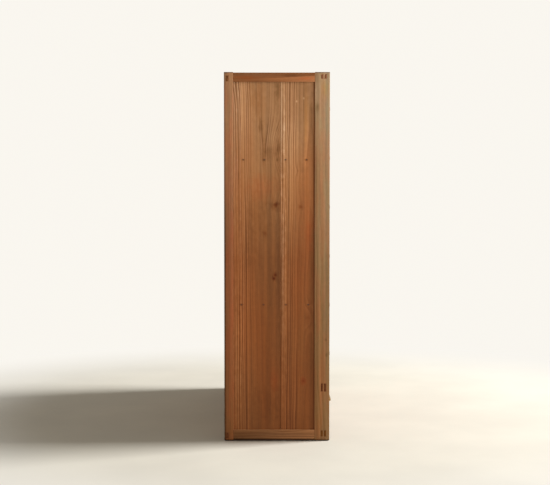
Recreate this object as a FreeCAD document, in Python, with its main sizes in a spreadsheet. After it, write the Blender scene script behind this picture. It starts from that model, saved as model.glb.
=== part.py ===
"""Seed storage cabinet: a framed chest of small seed drawers over two wide drawers.

Millimetres. +Z is up, the drawers face -Y, and the origin is on the floor, at the centre of the
rectangle that the cabinet and its pulls cover. Four posts carry front, side and rear rails, whose
tenons pass through the posts. Boards held in grooves close the sides and the back. Inside, a lining
board at each end and a grid of halved shelves and dividers form the cells that the drawers slide in.
"""

import FreeCAD, Part
import os
import Sketcher

COLUMNS = 4  # seed drawers side by side
ROWS = 6  # seed drawers one above another
BACK_BOARDS = 6
NAILS_IN_ROW = 4

doc = FreeCAD.newDocument("SeedCabinet")

# ---------------------------------------------------------------------------------------------
# Driving dimensions
# ---------------------------------------------------------------------------------------------

SIZES = {
    # the whole frame
    "cabinet_width": 909.0,
    "cabinet_depth": 303.0,
    "cabinet_height": 1061.0,
    "foot_clearance": 3.0,  # under the bottom rails, between the feet
    "foot_chamfer": 2.5,  # round the lower end of each post
    "rail_drop": 1.5,  # top of the rails below the post tops
    # posts: width along X, depth along Y
    "front_post_width": 36.0,
    "front_post_depth": 43.0,
    "rear_post_width": 30.0,
    "rear_post_depth": 26.0,
    # rails
    "top_rail_height": 26.0,
    "middle_rail_height": 27.0,
    "bottom_rail_height": 29.0,
    "wide_opening_height": 109.5,  # between the bottom rail and the middle rail
    "front_rail_depth": 34.0,
    "rear_rail_depth": 20.0,
    "side_rail_thickness": 24.0,
    # through tenons of the front rails, in pairs, and of the rear rails
    "twin_tenon_thickness": 5.5,
    "twin_tenon_gap": 4.0,
    "twin_tenon_setback": 9.5,  # front face to the first tenon
    "top_tenon_height": 12.5,
    "middle_tenon_height": 22.5,
    "bottom_tenon_height": 17.5,
    "top_tenon_margin": 6.5,  # post top to the tenon
    "bottom_tenon_margin": 12.5,  # floor to the tenon
    "rear_tenon_thickness": 7.5,
    "rear_tenon_setback": 5.5,  # rear face to the tenon
    "rear_tenon_height": 15.5,
    "rear_top_tenon_margin": 10.5,
    "rear_bottom_tenon_margin": 8.0,
    # stub tenons of the side rails
    "stub_length": 12.0,
    "stub_thickness": 8.0,
    "stub_setback": 14.0,  # outer face of the side rail to the stub
    "stub_shoulder": 2.0,  # outer edge of the side rail to the stub
    # side and back boards in their grooves
    "side_board_thickness": 9.0,
    "side_board_recess": 4.5,
    "side_front_board_width": 98.0,  # from the front post to the joint between the two boards
    "back_board_thickness": 7.0,
    "back_board_recess": 7.5,
    "groove_depth": 6.0,
    "board_joint_gap": 0.5,
    # battens behind the side boards
    "batten_height": 30.0,
    "batten_housing": 6.0,
    "lower_batten_level": 394.5,
    "upper_batten_level": 811.0,
    # nails through the side boards into the battens
    "nail_head_diameter": 3.6,
    "nail_head_height": 0.7,
    "nail_shank_diameter": 1.8,
    "nail_length": 18.0,
    "lower_row_front_margin": 18.5,  # front post to the first nail of the lower row
    "lower_row_rear_margin": 23.5,  # last nail to the rear post
    "upper_row_front_margin": 23.5,
    "upper_row_rear_margin": 29.0,
    "pilot_clearance": 0.05,
    # top and bottom boards on rebates in the rails
    "top_board_thickness": 12.0,
    "bottom_board_thickness": 9.0,
    "rebate_width": 6.0,
    "flat_joint_setback": 128.0,  # front face to the joint between the two boards
    # grid of shelves and dividers
    "lining_thickness": 10.0,
    "housing_depth": 5.0,
    "shelf_thickness": 12.0,
    "divider_thickness": 12.0,
    "wide_divider_thickness": 18.0,
    "grid_setback": 1.0,  # front edges behind the front face of the frame
    # drawers
    "drawer_recess": 5.0,  # drawer fronts behind the front face of the frame
    "drawer_side_gap": 0.8,
    "drawer_top_gap": 1.5,
    "drawer_running_gap": 0.3,
    "drawer_stop_gap": 0.5,
    "drawer_front_thickness": 14.0,
    "drawer_side_thickness": 8.0,
    "drawer_back_thickness": 8.0,
    "drawer_bottom_thickness": 5.0,
    "drawer_lap": 7.0,  # how far the sides reach into the front
    "drawer_side_drop": 6.0,  # top of the sides below the top of the front
    "drawer_back_drop": 6.0,  # top of the back below the top of the sides
    # turned knob of a seed drawer
    "knob_diameter": 19.0,
    "knob_projection": 12.0,
    "knob_rim_height": 8.0,
    "knob_neck_diameter": 10.0,
    "knob_neck_height": 3.5,
    "knob_collar_diameter": 13.0,
    "spindle_diameter": 8.0,
    "spindle_clearance": 0.05,  # round the spindle in its hole
    # cup pull of a wide drawer
    "cup_length": 84.0,
    "cup_projection": 20.0,
    "cup_raise": 2.5,  # cup above the middle of the opening
    "cup_wall": 1.6,
    "cup_plate_thickness": 1.6,
    "cup_plate_rise": 7.0,
    "cup_plate_overhang": 9.0,
    "rivet_diameter": 4.0,
    "rivet_head_diameter": 6.5,
    "rivet_head_height": 1.4,
}

# Planes and pitches worked out from the driving dimensions.
LEVELS = {
    "half_width": "Sizes.cabinet_width / 2",
    "pull_reach": "Sizes.cup_projection - Sizes.drawer_recess",  # in front of the front face
    "front_face": "-(Sizes.cabinet_depth - Levels.pull_reach) / 2",
    "rear_face": "Levels.front_face + Sizes.cabinet_depth",
    # along X, on the right half
    "post_inner_x": "Levels.half_width - Sizes.front_post_width",
    "rear_post_inner_x": "Levels.half_width - Sizes.rear_post_width",
    "side_rail_inner_x": "Levels.half_width - Sizes.side_rail_thickness",
    "side_board_outer_x": "Levels.half_width - Sizes.side_board_recess",
    "side_board_inner_x": "Levels.side_board_outer_x - Sizes.side_board_thickness",
    "lining_outer_x": "Levels.post_inner_x + Sizes.lining_thickness",
    "shelf_end_x": "Levels.post_inner_x + Sizes.housing_depth",
    "flat_board_end_x": "Levels.side_rail_inner_x + Sizes.rebate_width",
    "back_board_end_x": "Levels.rear_post_inner_x + Sizes.groove_depth",
    # along Y
    "front_post_back_y": "Levels.front_face + Sizes.front_post_depth",
    "front_rail_back_y": "Levels.front_face + Sizes.front_rail_depth",
    "rear_post_front_y": "Levels.rear_face - Sizes.rear_post_depth",
    "rear_rail_front_y": "Levels.rear_face - Sizes.rear_rail_depth",
    "back_board_rear_y": "Levels.rear_face - Sizes.back_board_recess",
    "back_board_front_y": "Levels.back_board_rear_y - Sizes.back_board_thickness",
    "grid_front_y": "Levels.front_face + Sizes.grid_setback",
    "grid_middle_y": "(Levels.grid_front_y + Levels.back_board_front_y) / 2",
    "flat_board_front_y": "Levels.front_rail_back_y - Sizes.rebate_width",
    "flat_board_rear_y": "Levels.back_board_front_y",
    "drawer_face_y": "Levels.front_face + Sizes.drawer_recess",
    "drawer_end_y": "Levels.back_board_front_y - Sizes.drawer_stop_gap",
    # along Z
    "rail_top": "Sizes.cabinet_height - Sizes.rail_drop",
    "top_opening": "Levels.rail_top - Sizes.top_rail_height",
    "rail_bottom": "Sizes.foot_clearance",
    "floor_top": "Levels.rail_bottom + Sizes.bottom_rail_height",
    "middle_rail_bottom": "Levels.floor_top + Sizes.wide_opening_height",
    "middle_top": "Levels.middle_rail_bottom + Sizes.middle_rail_height",
    "middle_shelf_bottom": "Levels.middle_top - Sizes.shelf_thickness",
    "floor_board_bottom": "Levels.floor_top - Sizes.bottom_board_thickness",
    "ceiling": "Levels.rail_top - Sizes.top_board_thickness",
    "board_foot": "Levels.floor_top - Sizes.groove_depth",
    "board_head": "Levels.top_opening + Sizes.groove_depth",
    # cells of the drawers
    "row_pitch": f"(Levels.top_opening - Levels.middle_top + Sizes.shelf_thickness) / {ROWS}",
    "cell_height": "Levels.row_pitch - Sizes.shelf_thickness",
    "column_pitch": f"(2 * Levels.post_inner_x + Sizes.divider_thickness) / {COLUMNS}",
    "cell_width": "Levels.column_pitch - Sizes.divider_thickness",
    "wide_cell_width": "(2 * Levels.post_inner_x - Sizes.wide_divider_thickness) / 2",
    "wide_pitch": "Levels.wide_cell_width + Sizes.wide_divider_thickness",
}


def fill_sheet(name, cells):
    """A spreadsheet with one named value in each row."""
    sheet = doc.addObject("Spreadsheet::Sheet", name)
    for row, (alias, value) in enumerate(cells.items(), start=1):
        sheet.set(f"A{row}", alias)
        sheet.set(f"B{row}", str(value))
        sheet.setAlias(f"B{row}", alias)
    return sheet


fill_sheet("Sizes", SIZES)
levels_sheet = fill_sheet("Levels", {alias: "0" for alias in LEVELS})
for row, (alias, formula) in enumerate(LEVELS.items(), start=1):
    levels_sheet.set(f"B{row}", "=" + formula.replace("Levels.", ""))
doc.recompute()

# ---------------------------------------------------------------------------------------------
# Helpers
# ---------------------------------------------------------------------------------------------


def block(name, x, y, z):
    """A box between two planes along each axis, each plane an expression."""
    made = doc.addObject("Part::Box", name)
    for (low, high), size, axis in zip((x, y, z), ("Length", "Width", "Height"), "xyz"):
        made.setExpression(size, f"({high}) - ({low})")
        made.setExpression(f"Placement.Base.{axis}", low)
    return made


def mirrored_planes(planes):
    """The same two planes on the other side of X = 0."""
    low, high = planes
    return f"-({high})", f"-({low})"


def rod(name, diameter, start, end, at, direction):
    """A cylinder along X or Y, from one plane to another."""
    made = doc.addObject("Part::Cylinder", name)
    turn = {"x": FreeCAD.Rotation(FreeCAD.Vector(0, 1, 0), 90),
            "y": FreeCAD.Rotation(FreeCAD.Vector(1, 0, 0), -90)}
    made.Placement = FreeCAD.Placement(FreeCAD.Vector(), turn[direction])
    made.setExpression("Radius", f"({diameter}) / 2")
    made.setExpression("Height", f"({end}) - ({start})")
    base = dict(at)
    base[direction] = start
    for axis in "xyz":
        made.setExpression(f"Placement.Base.{axis}", base[axis])
    return made


def fused(name, pieces):
    """One solid from pieces that touch or overlap."""
    made = doc.addObject("Part::MultiFuse", name)
    made.Shapes = pieces
    made.Refine = True
    return made


def grouped(name, pieces):
    """Separate solids under one name."""
    made = doc.addObject("Part::Compound", name)
    made.Links = pieces
    return made


def cut(name, base, tools):
    """The base piece without the room that the tools take."""
    made = doc.addObject("Part::Cut", name)
    made.Base = base
    made.Tool = tools[0] if len(tools) == 1 else fused(name + "_room", tools)
    return made


def mirrored(name, source):
    """The same piece on the other side of X = 0."""
    made = doc.addObject("Part::Mirroring", name)
    made.Source = source
    made.Base = FreeCAD.Vector(0, 0, 0)
    made.Normal = FreeCAD.Vector(1, 0, 0)
    return made


parts = []


def keep(made):
    """Marks an object as a finished sub-part, which gets its own file."""
    made.Label = made.Name
    parts.append(made)
    return made


# ---------------------------------------------------------------------------------------------
# Planes that several pieces share. The left side of the cabinet is modelled, and the right side
# is its mirror image.
# ---------------------------------------------------------------------------------------------

LEFT_FRONT_POST = (("-Levels.half_width", "-Levels.post_inner_x"),
                   ("Levels.front_face", "Levels.front_post_back_y"),
                   ("0", "Sizes.cabinet_height"))
LEFT_REAR_POST = (("-Levels.half_width", "-Levels.rear_post_inner_x"),
                  ("Levels.rear_post_front_y", "Levels.rear_face"),
                  ("0", "Sizes.cabinet_height"))
BETWEEN_FRONT_POSTS = ("-Levels.post_inner_x", "Levels.post_inner_x")
BETWEEN_REAR_POSTS = ("-Levels.rear_post_inner_x", "Levels.rear_post_inner_x")
BETWEEN_SIDE_POSTS = ("Levels.front_post_back_y", "Levels.rear_post_front_y")
FULL_WIDTH = ("-Levels.half_width", "Levels.half_width")
TOP_RAIL_Z = ("Levels.top_opening", "Levels.rail_top")
MIDDLE_RAIL_Z = ("Levels.middle_rail_bottom", "Levels.middle_top")
BOTTOM_RAIL_Z = ("Levels.rail_bottom", "Levels.floor_top")
FRONT_RAIL_Y = ("Levels.front_face", "Levels.front_rail_back_y")
REAR_RAIL_Y = ("Levels.rear_rail_front_y", "Levels.rear_face")
TOP_BOARD_Z = ("Levels.ceiling", "Levels.rail_top")
BOTTOM_BOARD_Z = ("Levels.floor_board_bottom", "Levels.floor_top")
SIDE_BOARD_X = ("-Levels.side_board_outer_x", "-Levels.side_board_inner_x")
SIDE_BOARD_Z = ("Levels.board_foot", "Levels.board_head")
BACK_BOARD_Y = ("Levels.back_board_front_y", "Levels.back_board_rear_y")
SHELF_X = ("-Levels.shelf_end_x", "Levels.shelf_end_x")

TOP_TENON_Z = ("Sizes.cabinet_height - Sizes.top_tenon_margin - Sizes.top_tenon_height",
               "Sizes.cabinet_height - Sizes.top_tenon_margin")
MIDDLE_TENON_Z = ("(Levels.middle_rail_bottom + Levels.middle_top - Sizes.middle_tenon_height) / 2",
                  "(Levels.middle_rail_bottom + Levels.middle_top + Sizes.middle_tenon_height) / 2")
BOTTOM_TENON_Z = ("Sizes.bottom_tenon_margin", "Sizes.bottom_tenon_margin + Sizes.bottom_tenon_height")
REAR_TOP_TENON_Z = ("Sizes.cabinet_height - Sizes.rear_top_tenon_margin - Sizes.rear_tenon_height",
                    "Sizes.cabinet_height - Sizes.rear_top_tenon_margin")
REAR_BOTTOM_TENON_Z = ("Sizes.rear_bottom_tenon_margin",
                       "Sizes.rear_bottom_tenon_margin + Sizes.rear_tenon_height")
REAR_TENON_Y = ("Levels.rear_face - Sizes.rear_tenon_setback - Sizes.rear_tenon_thickness",
                "Levels.rear_face - Sizes.rear_tenon_setback")


def twin_tenon_planes():
    """The Y planes of the two tenons of a front rail."""
    first = "Levels.front_face + Sizes.twin_tenon_setback"
    second = f"{first} + Sizes.twin_tenon_thickness + Sizes.twin_tenon_gap"
    return [(low, f"{low} + Sizes.twin_tenon_thickness") for low in (first, second)]


def shelf_planes(number):
    """The Z planes of a seed shelf, counted from the bottom."""
    low = f"Levels.middle_top + {number} * Levels.row_pitch - Sizes.shelf_thickness"
    return low, f"{low} + Sizes.shelf_thickness"


def divider_planes(number):
    """The X planes of an upright divider, counted from the left."""
    low = f"-Levels.post_inner_x + {number} * Levels.column_pitch - Sizes.divider_thickness"
    return low, f"{low} + Sizes.divider_thickness"


def batten_planes(level):
    """The Z planes of a batten whose middle is at a level."""
    return f"{level} - Sizes.batten_height / 2", f"{level} + Sizes.batten_height / 2"


BATTEN_X = ("-Levels.side_board_inner_x", "-Levels.lining_outer_x")
BATTEN_Y = ("Levels.front_post_back_y - Sizes.batten_housing",
            "Levels.rear_post_front_y + Sizes.batten_housing")
BATTEN_LEVELS = ("Sizes.lower_batten_level", "Sizes.upper_batten_level")
SIDE_BOARD_Y = ("Levels.front_post_back_y - Sizes.groove_depth",
                "Levels.rear_post_front_y + Sizes.groove_depth")

STUB_X = ("-Levels.half_width + Sizes.stub_setback",
          "-Levels.half_width + Sizes.stub_setback + Sizes.stub_thickness")
STUB_Y = ("Levels.front_post_back_y - Sizes.stub_length", "Levels.rear_post_front_y + Sizes.stub_length")
TOP_STUB_Z = ("Levels.board_head + Sizes.stub_shoulder", "Levels.rail_top - Sizes.stub_shoulder")
BOTTOM_STUB_Z = ("Levels.rail_bottom + Sizes.stub_shoulder", "Levels.board_foot - Sizes.stub_shoulder")


def side_rooms(name):
    """The room that side boards, battens and side rails take in the left posts."""
    rooms = [block(f"{name}_board_room", SIDE_BOARD_X, SIDE_BOARD_Y, SIDE_BOARD_Z)]
    for count, level in enumerate(BATTEN_LEVELS):
        rooms.append(block(f"{name}_batten_room_{count}", BATTEN_X, BATTEN_Y, batten_planes(level)))
    for count, planes in enumerate((TOP_STUB_Z, BOTTOM_STUB_Z)):
        rooms.append(block(f"{name}_stub_room_{count}", STUB_X, STUB_Y, planes))
    return rooms


# ---------------------------------------------------------------------------------------------
# Posts
# ---------------------------------------------------------------------------------------------


def post_blank(name, planes):
    """A square post whose lower end is chamfered all round."""
    x, y, z = planes
    chamfer = "Sizes.foot_chamfer"
    foot = doc.addObject("Part::Wedge", f"{name}_foot")
    foot.setExpression("Xmin", f"{x[0]} + {chamfer}")
    foot.setExpression("Xmax", f"{x[1]} - {chamfer}")
    foot.setExpression("X2min", x[0])
    foot.setExpression("X2max", x[1])
    foot.setExpression("Zmin", f"-({y[1]}) + {chamfer}")
    foot.setExpression("Zmax", f"-({y[0]}) - {chamfer}")
    foot.setExpression("Z2min", f"-({y[1]})")
    foot.setExpression("Z2max", f"-({y[0]})")
    foot.Ymin = 0
    foot.setExpression("Ymax", chamfer)
    foot.Placement.Rotation = FreeCAD.Rotation(FreeCAD.Vector(1, 0, 0), 90)
    return fused(name, [foot, block(f"{name}_shaft", x, y, (chamfer, z[1]))])


def front_post():
    """The left front post, with its mortises, its board groove and the housings of the shelves."""
    name = "front_left_post"
    rooms = side_rooms(name)
    for level, z in enumerate((TOP_TENON_Z, MIDDLE_TENON_Z, BOTTOM_TENON_Z)):
        for count, y in enumerate(twin_tenon_planes()):
            rooms.append(block(f"{name}_mortise_{level}{count}", LEFT_FRONT_POST[0], y, z))
    housing_x = ("-Levels.shelf_end_x", "-Levels.post_inner_x")
    for number in range(1, ROWS):
        rooms.append(block(f"{name}_housing_{number}", housing_x,
                           ("Levels.grid_front_y", "Levels.front_post_back_y"), shelf_planes(number)))
    rooms.append(block(f"{name}_housing_0", housing_x,
                       ("Levels.front_rail_back_y", "Levels.front_post_back_y"),
                       ("Levels.middle_shelf_bottom", "Levels.middle_top")))
    return cut(name, post_blank(f"{name}_blank", LEFT_FRONT_POST), rooms)


def rear_post():
    """The left rear post, with its mortises and the grooves of the side and back boards."""
    name = "rear_left_post"
    rooms = side_rooms(name)
    for count, z in enumerate((REAR_TOP_TENON_Z, REAR_BOTTOM_TENON_Z)):
        rooms.append(block(f"{name}_mortise_{count}", LEFT_REAR_POST[0], REAR_TENON_Y, z))
    rooms.append(block(f"{name}_back_groove", ("-Levels.back_board_end_x", "-Levels.rear_post_inner_x"),
                       BACK_BOARD_Y, SIDE_BOARD_Z))
    return cut(name, post_blank(f"{name}_blank", LEFT_REAR_POST), rooms)


front_left_post = keep(front_post())
keep(mirrored("front_right_post", front_left_post))
rear_left_post = keep(rear_post())
keep(mirrored("rear_right_post", rear_left_post))

# ---------------------------------------------------------------------------------------------
# Rails
# ---------------------------------------------------------------------------------------------


def front_rail(name, rail_z, tenon_z, rebate_z=None):
    """A front rail with a pair of through tenons at each end, and a rebate if boards lie on it."""
    solids = [block(f"{name}_bar", BETWEEN_FRONT_POSTS, FRONT_RAIL_Y, rail_z)]
    for count, y in enumerate(twin_tenon_planes()):
        solids.append(block(f"{name}_tenon_{count}", FULL_WIDTH, y, tenon_z))
    if rebate_z is None:
        return fused(name, solids)
    rebate = block(f"{name}_rebate", BETWEEN_FRONT_POSTS,
                   ("Levels.flat_board_front_y", "Levels.front_rail_back_y"), rebate_z)
    return cut(name, fused(f"{name}_blank", solids), [rebate])


def rear_rail(name, rail_z, tenon_z, rebate_z):
    """A rear rail with through tenons, a rebate for flat boards and a groove for the back boards."""
    solids = [block(f"{name}_bar", BETWEEN_REAR_POSTS, REAR_RAIL_Y, rail_z),
              block(f"{name}_tenon", FULL_WIDTH, REAR_TENON_Y, tenon_z)]
    rooms = [block(f"{name}_rebate", BETWEEN_REAR_POSTS,
                   ("Levels.rear_rail_front_y", "Levels.flat_board_rear_y"), rebate_z),
             block(f"{name}_groove", BETWEEN_REAR_POSTS, BACK_BOARD_Y, SIDE_BOARD_Z)]
    return cut(name, fused(f"{name}_blank", solids), rooms)


def side_rail(name, rail_z, stub_z, rebate_z):
    """A left side rail with stub tenons, a rebate for flat boards and a groove for the side boards."""
    rail_x = ("-Levels.half_width", "-Levels.side_rail_inner_x")
    solids = [block(f"{name}_bar", rail_x, BETWEEN_SIDE_POSTS, rail_z),
              block(f"{name}_stub", STUB_X, STUB_Y, stub_z)]
    rooms = [block(f"{name}_rebate", ("-Levels.flat_board_end_x", "-Levels.side_rail_inner_x"),
                   BETWEEN_SIDE_POSTS, rebate_z),
             block(f"{name}_groove", SIDE_BOARD_X, BETWEEN_SIDE_POSTS, SIDE_BOARD_Z)]
    return cut(name, fused(f"{name}_blank", solids), rooms)


keep(front_rail("front_top_rail", TOP_RAIL_Z, TOP_TENON_Z, TOP_BOARD_Z))
keep(front_rail("front_middle_rail", MIDDLE_RAIL_Z, MIDDLE_TENON_Z))
keep(front_rail("front_bottom_rail", BOTTOM_RAIL_Z, BOTTOM_TENON_Z, BOTTOM_BOARD_Z))
keep(rear_rail("rear_top_rail", TOP_RAIL_Z, REAR_TOP_TENON_Z, TOP_BOARD_Z))
keep(rear_rail("rear_bottom_rail", BOTTOM_RAIL_Z, REAR_BOTTOM_TENON_Z, BOTTOM_BOARD_Z))
left_top_rail = keep(side_rail("left_top_rail", TOP_RAIL_Z, TOP_STUB_Z, TOP_BOARD_Z))
keep(mirrored("right_top_rail", left_top_rail))
left_bottom_rail = keep(side_rail("left_bottom_rail", BOTTOM_RAIL_Z, BOTTOM_STUB_Z, BOTTOM_BOARD_Z))
keep(mirrored("right_bottom_rail", left_bottom_rail))

# ---------------------------------------------------------------------------------------------
# Nails, and the side boards and battens that they join
# ---------------------------------------------------------------------------------------------


def nail_rows():
    """Where the nails of the left side stand, evenly spaced along the two battens."""
    for row in ("lower", "upper"):
        first = f"(Levels.front_post_back_y + Sizes.{row}_row_front_margin)"
        last = f"(Levels.rear_post_front_y - Sizes.{row}_row_rear_margin)"
        for number in range(NAILS_IN_ROW):
            along = f"{first} + ({last} - {first}) * {number} / {NAILS_IN_ROW - 1}"
            yield {"y": along, "z": f"Sizes.{row}_batten_level"}


def nail(name, at):
    """A round nail driven through the left side boards, its head on their outer face."""
    face = "-Levels.side_board_outer_x"
    crown = f"{face} - Sizes.nail_head_height"
    head = rod(f"{name}_head", "Sizes.nail_head_diameter", crown, face, at, "x")
    shank = rod(f"{name}_shank", "Sizes.nail_shank_diameter", face, f"{face} + Sizes.nail_length", at, "x")
    return fused(name, [head, shank])


def pilot_holes(name):
    """The room that the nails of the left side take in what they pass through."""
    face = "-Levels.side_board_outer_x"
    bore = "Sizes.nail_shank_diameter + 2 * Sizes.pilot_clearance"
    return [rod(f"{name}_pilot_{count}", bore, f"{face} - Sizes.pilot_clearance",
                f"{face} + Sizes.nail_length + Sizes.pilot_clearance", at, "x")
            for count, at in enumerate(nail_rows())]


def side_boards():
    """The two upright boards that close the left side."""
    joint = "Levels.front_post_back_y + Sizes.side_front_board_width"
    planes = (("front", (SIDE_BOARD_Y[0], f"{joint} - Sizes.board_joint_gap / 2")),
              ("rear", (f"{joint} + Sizes.board_joint_gap / 2", SIDE_BOARD_Y[1])))
    boards = []
    for place, y in planes:
        name = f"left_side_{place}_board"
        boards.append(cut(name, block(f"{name}_blank", SIDE_BOARD_X, y, SIDE_BOARD_Z), pilot_holes(name)))
    return grouped("left_side_boards", boards)


def left_battens():
    """The two battens that the left side boards are nailed to."""
    battens = []
    for count, level in enumerate(BATTEN_LEVELS):
        name = f"left_batten_{count}"
        blank = block(f"{name}_blank", BATTEN_X, BATTEN_Y, batten_planes(level))
        battens.append(cut(name, blank, pilot_holes(name)))
    return grouped("left_battens", battens)


left_nails = grouped("left_nails", [nail(f"left_nail_{count}", at) for count, at in enumerate(nail_rows())])
keep(grouped("side_board_nails", [left_nails, mirrored("right_nails", left_nails)]))
left_side_boards = keep(side_boards())
keep(mirrored("right_side_boards", left_side_boards))
battens = left_battens()
keep(grouped("side_battens", [battens, mirrored("right_battens", battens)]))

# ---------------------------------------------------------------------------------------------
# Back boards, and the flat boards of the top and the floor
# ---------------------------------------------------------------------------------------------


def tenon_notches(name):
    """The room that the tenons of the rear rails take in the back boards at the two ends."""
    notches = []
    for place, z in (("top", REAR_TOP_TENON_Z), ("bottom", REAR_BOTTOM_TENON_Z)):
        for side, x in (("left", LEFT_REAR_POST[0]), ("right", mirrored_planes(LEFT_REAR_POST[0]))):
            notches.append(block(f"{name}_{side}_{place}_notch", x, BACK_BOARD_Y, z))
    return notches


def back_boards():
    """Upright boards side by side in the grooves of the rear frame."""
    pitch = f"(2 * Levels.back_board_end_x / {BACK_BOARDS})"
    boards = []
    for number in range(BACK_BOARDS):
        low = f"-Levels.back_board_end_x + {number} * {pitch}"
        left_gap = "0" if number == 0 else "Sizes.board_joint_gap / 2"
        right_gap = "0" if number == BACK_BOARDS - 1 else "Sizes.board_joint_gap / 2"
        x = (f"{low} + {left_gap}", f"{low} + {pitch} - {right_gap}")
        name = f"back_board_{number}"
        boards.append(cut(name, block(f"{name}_blank", x, BACK_BOARD_Y, SIDE_BOARD_Z), tenon_notches(name)))
    return grouped("back_boards", boards)


def post_rooms(name):
    """The room that the four posts take in a flat board."""
    rooms = []
    for place, (x, y, z) in (("front", LEFT_FRONT_POST), ("rear", LEFT_REAR_POST)):
        rooms.append(block(f"{name}_{place}_left_post_room", x, y, z))
        rooms.append(block(f"{name}_{place}_right_post_room", mirrored_planes(x), y, z))
    return rooms


def flat_boards(name, z):
    """Two boards on the rebates of the rails, notched round the posts."""
    joint = "Levels.front_face + Sizes.flat_joint_setback"
    planes = (("front", ("Levels.flat_board_front_y", f"{joint} - Sizes.board_joint_gap / 2")),
              ("rear", (f"{joint} + Sizes.board_joint_gap / 2", "Levels.flat_board_rear_y")))
    x = ("-Levels.flat_board_end_x", "Levels.flat_board_end_x")
    boards = []
    for place, y in planes:
        board = f"{name}_{place}"
        boards.append(cut(board, block(f"{board}_blank", x, y, z), post_rooms(board)))
    return grouped(name, boards)


keep(back_boards())
keep(flat_boards("top_boards", TOP_BOARD_Z))
keep(flat_boards("bottom_boards", BOTTOM_BOARD_Z))

# ---------------------------------------------------------------------------------------------
# Grid of lining boards, shelves and dividers
# ---------------------------------------------------------------------------------------------


def lining_board():
    """The left end board of the grid, with a housing for each shelf."""
    name = "left_lining_board"
    x = ("-Levels.lining_outer_x", "-Levels.post_inner_x")
    housing_x = ("-Levels.shelf_end_x", "-Levels.post_inner_x")
    blank = block(f"{name}_blank", x, BETWEEN_SIDE_POSTS, ("Levels.floor_top", "Levels.ceiling"))
    rooms = [block(f"{name}_housing_{number}", housing_x, BETWEEN_SIDE_POSTS, shelf_planes(number))
             for number in range(ROWS)]
    return cut(name, blank, rooms)


def seed_shelf(number):
    """A shelf of the grid, slotted from the rear where the dividers cross it."""
    name = f"seed_shelf_{number}"
    z = shelf_planes(number)
    blank = block(f"{name}_blank", SHELF_X, ("Levels.grid_front_y", "Levels.back_board_front_y"), z)
    slots = [block(f"{name}_slot_{count}", divider_planes(count),
                   ("Levels.grid_middle_y", "Levels.back_board_front_y"), z) for count in range(1, COLUMNS)]
    return cut(name, blank, slots)


def divider(number, name):
    """A divider, slotted from the front where the shelves cross it, notched round the top rails."""
    x = divider_planes(number)
    blank = block(f"{name}_blank", x, ("Levels.grid_front_y", "Levels.back_board_front_y"),
                  ("Levels.middle_top", "Levels.ceiling"))
    rooms = [block(f"{name}_slot_{count}", x, ("Levels.grid_front_y", "Levels.grid_middle_y"),
                   shelf_planes(count)) for count in range(1, ROWS)]
    rooms.append(block(f"{name}_front_rail_room", x, FRONT_RAIL_Y, TOP_RAIL_Z))
    rooms.append(block(f"{name}_rear_rail_room", x, REAR_RAIL_Y, TOP_RAIL_Z))
    return cut(name, blank, rooms)


def wide_divider():
    """The board between the wide drawers, notched round the middle rail."""
    name = "wide_drawer_divider"
    x = ("-Sizes.wide_divider_thickness / 2", "Sizes.wide_divider_thickness / 2")
    blank = block(f"{name}_blank", x, ("Levels.grid_front_y", "Levels.back_board_front_y"),
                  ("Levels.floor_top", "Levels.middle_shelf_bottom"))
    return cut(name, blank, [block(f"{name}_rail_room", x, FRONT_RAIL_Y, MIDDLE_RAIL_Z)])


left_lining = keep(lining_board())
keep(mirrored("right_lining_board", left_lining))
keep(block("middle_shelf", SHELF_X, ("Levels.front_rail_back_y", "Levels.back_board_front_y"),
           ("Levels.middle_shelf_bottom", "Levels.middle_top")))
for shelf_number in range(1, ROWS):
    keep(seed_shelf(shelf_number))
for divider_number, divider_name in enumerate(("left_divider", "centre_divider", "right_divider"), start=1):
    keep(divider(divider_number, divider_name))
keep(wide_divider())

# ---------------------------------------------------------------------------------------------
# Drawers. The pieces of one drawer are made for a cell whose floor is at Z = 0 and whose middle
# is at X = 0, and each drawer is a group of them, placed in its own cell.
# ---------------------------------------------------------------------------------------------


def drawer_boards(name, cell_width, cell_height, fixing_rooms):
    """The five boards of a drawer: front, two sides, back and bottom."""
    half = f"(({cell_width}) / 2 - Sizes.drawer_side_gap)"
    inner = f"({half} - Sizes.drawer_side_thickness)"
    floor = "Sizes.drawer_running_gap"
    top = f"({cell_height}) - Sizes.drawer_top_gap"
    side_top = f"{top} - Sizes.drawer_side_drop"
    bottom_top = f"{floor} + Sizes.drawer_bottom_thickness"
    face = "Levels.drawer_face_y"
    front_back = f"{face} + Sizes.drawer_front_thickness"
    side_front = f"{front_back} - Sizes.drawer_lap"
    end = "Levels.drawer_end_y"
    back_front = f"{end} - Sizes.drawer_back_thickness"
    left_side_x = (f"-{half}", f"-{inner}")
    right_side_x = mirrored_planes(left_side_x)

    left_side = block(f"{name}_left_side", left_side_x, (side_front, end), (floor, side_top))
    right_side = block(f"{name}_right_side", right_side_x, (side_front, end), (floor, side_top))
    laps = [block(f"{name}_left_lap", left_side_x, (side_front, front_back), (floor, side_top)),
            block(f"{name}_right_lap", right_side_x, (side_front, front_back), (floor, side_top))]
    blank = block(f"{name}_front_blank", (f"-{half}", half), (face, front_back), (floor, top))
    front = cut(f"{name}_front", blank, laps + fixing_rooms)
    back = block(f"{name}_back", (f"-{inner}", inner), (back_front, end),
                 (bottom_top, f"{side_top} - Sizes.drawer_back_drop"))
    bottom = block(f"{name}_bottom", (f"-{inner}", inner), (front_back, end), (floor, bottom_top))
    return [front, left_side, right_side, back, bottom]


def put_in_cell(made, x, z):
    """Moves a drawer's group from the model cell to its own."""
    made.setExpression("Placement.Base.x", x)
    made.setExpression("Placement.Base.z", z)
    return made


def origin_feature(body, role):
    """A plane or an axis of a body's own origin."""
    return next(item for item in body.Origin.OriginFeatures if item.Role == role)


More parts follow.
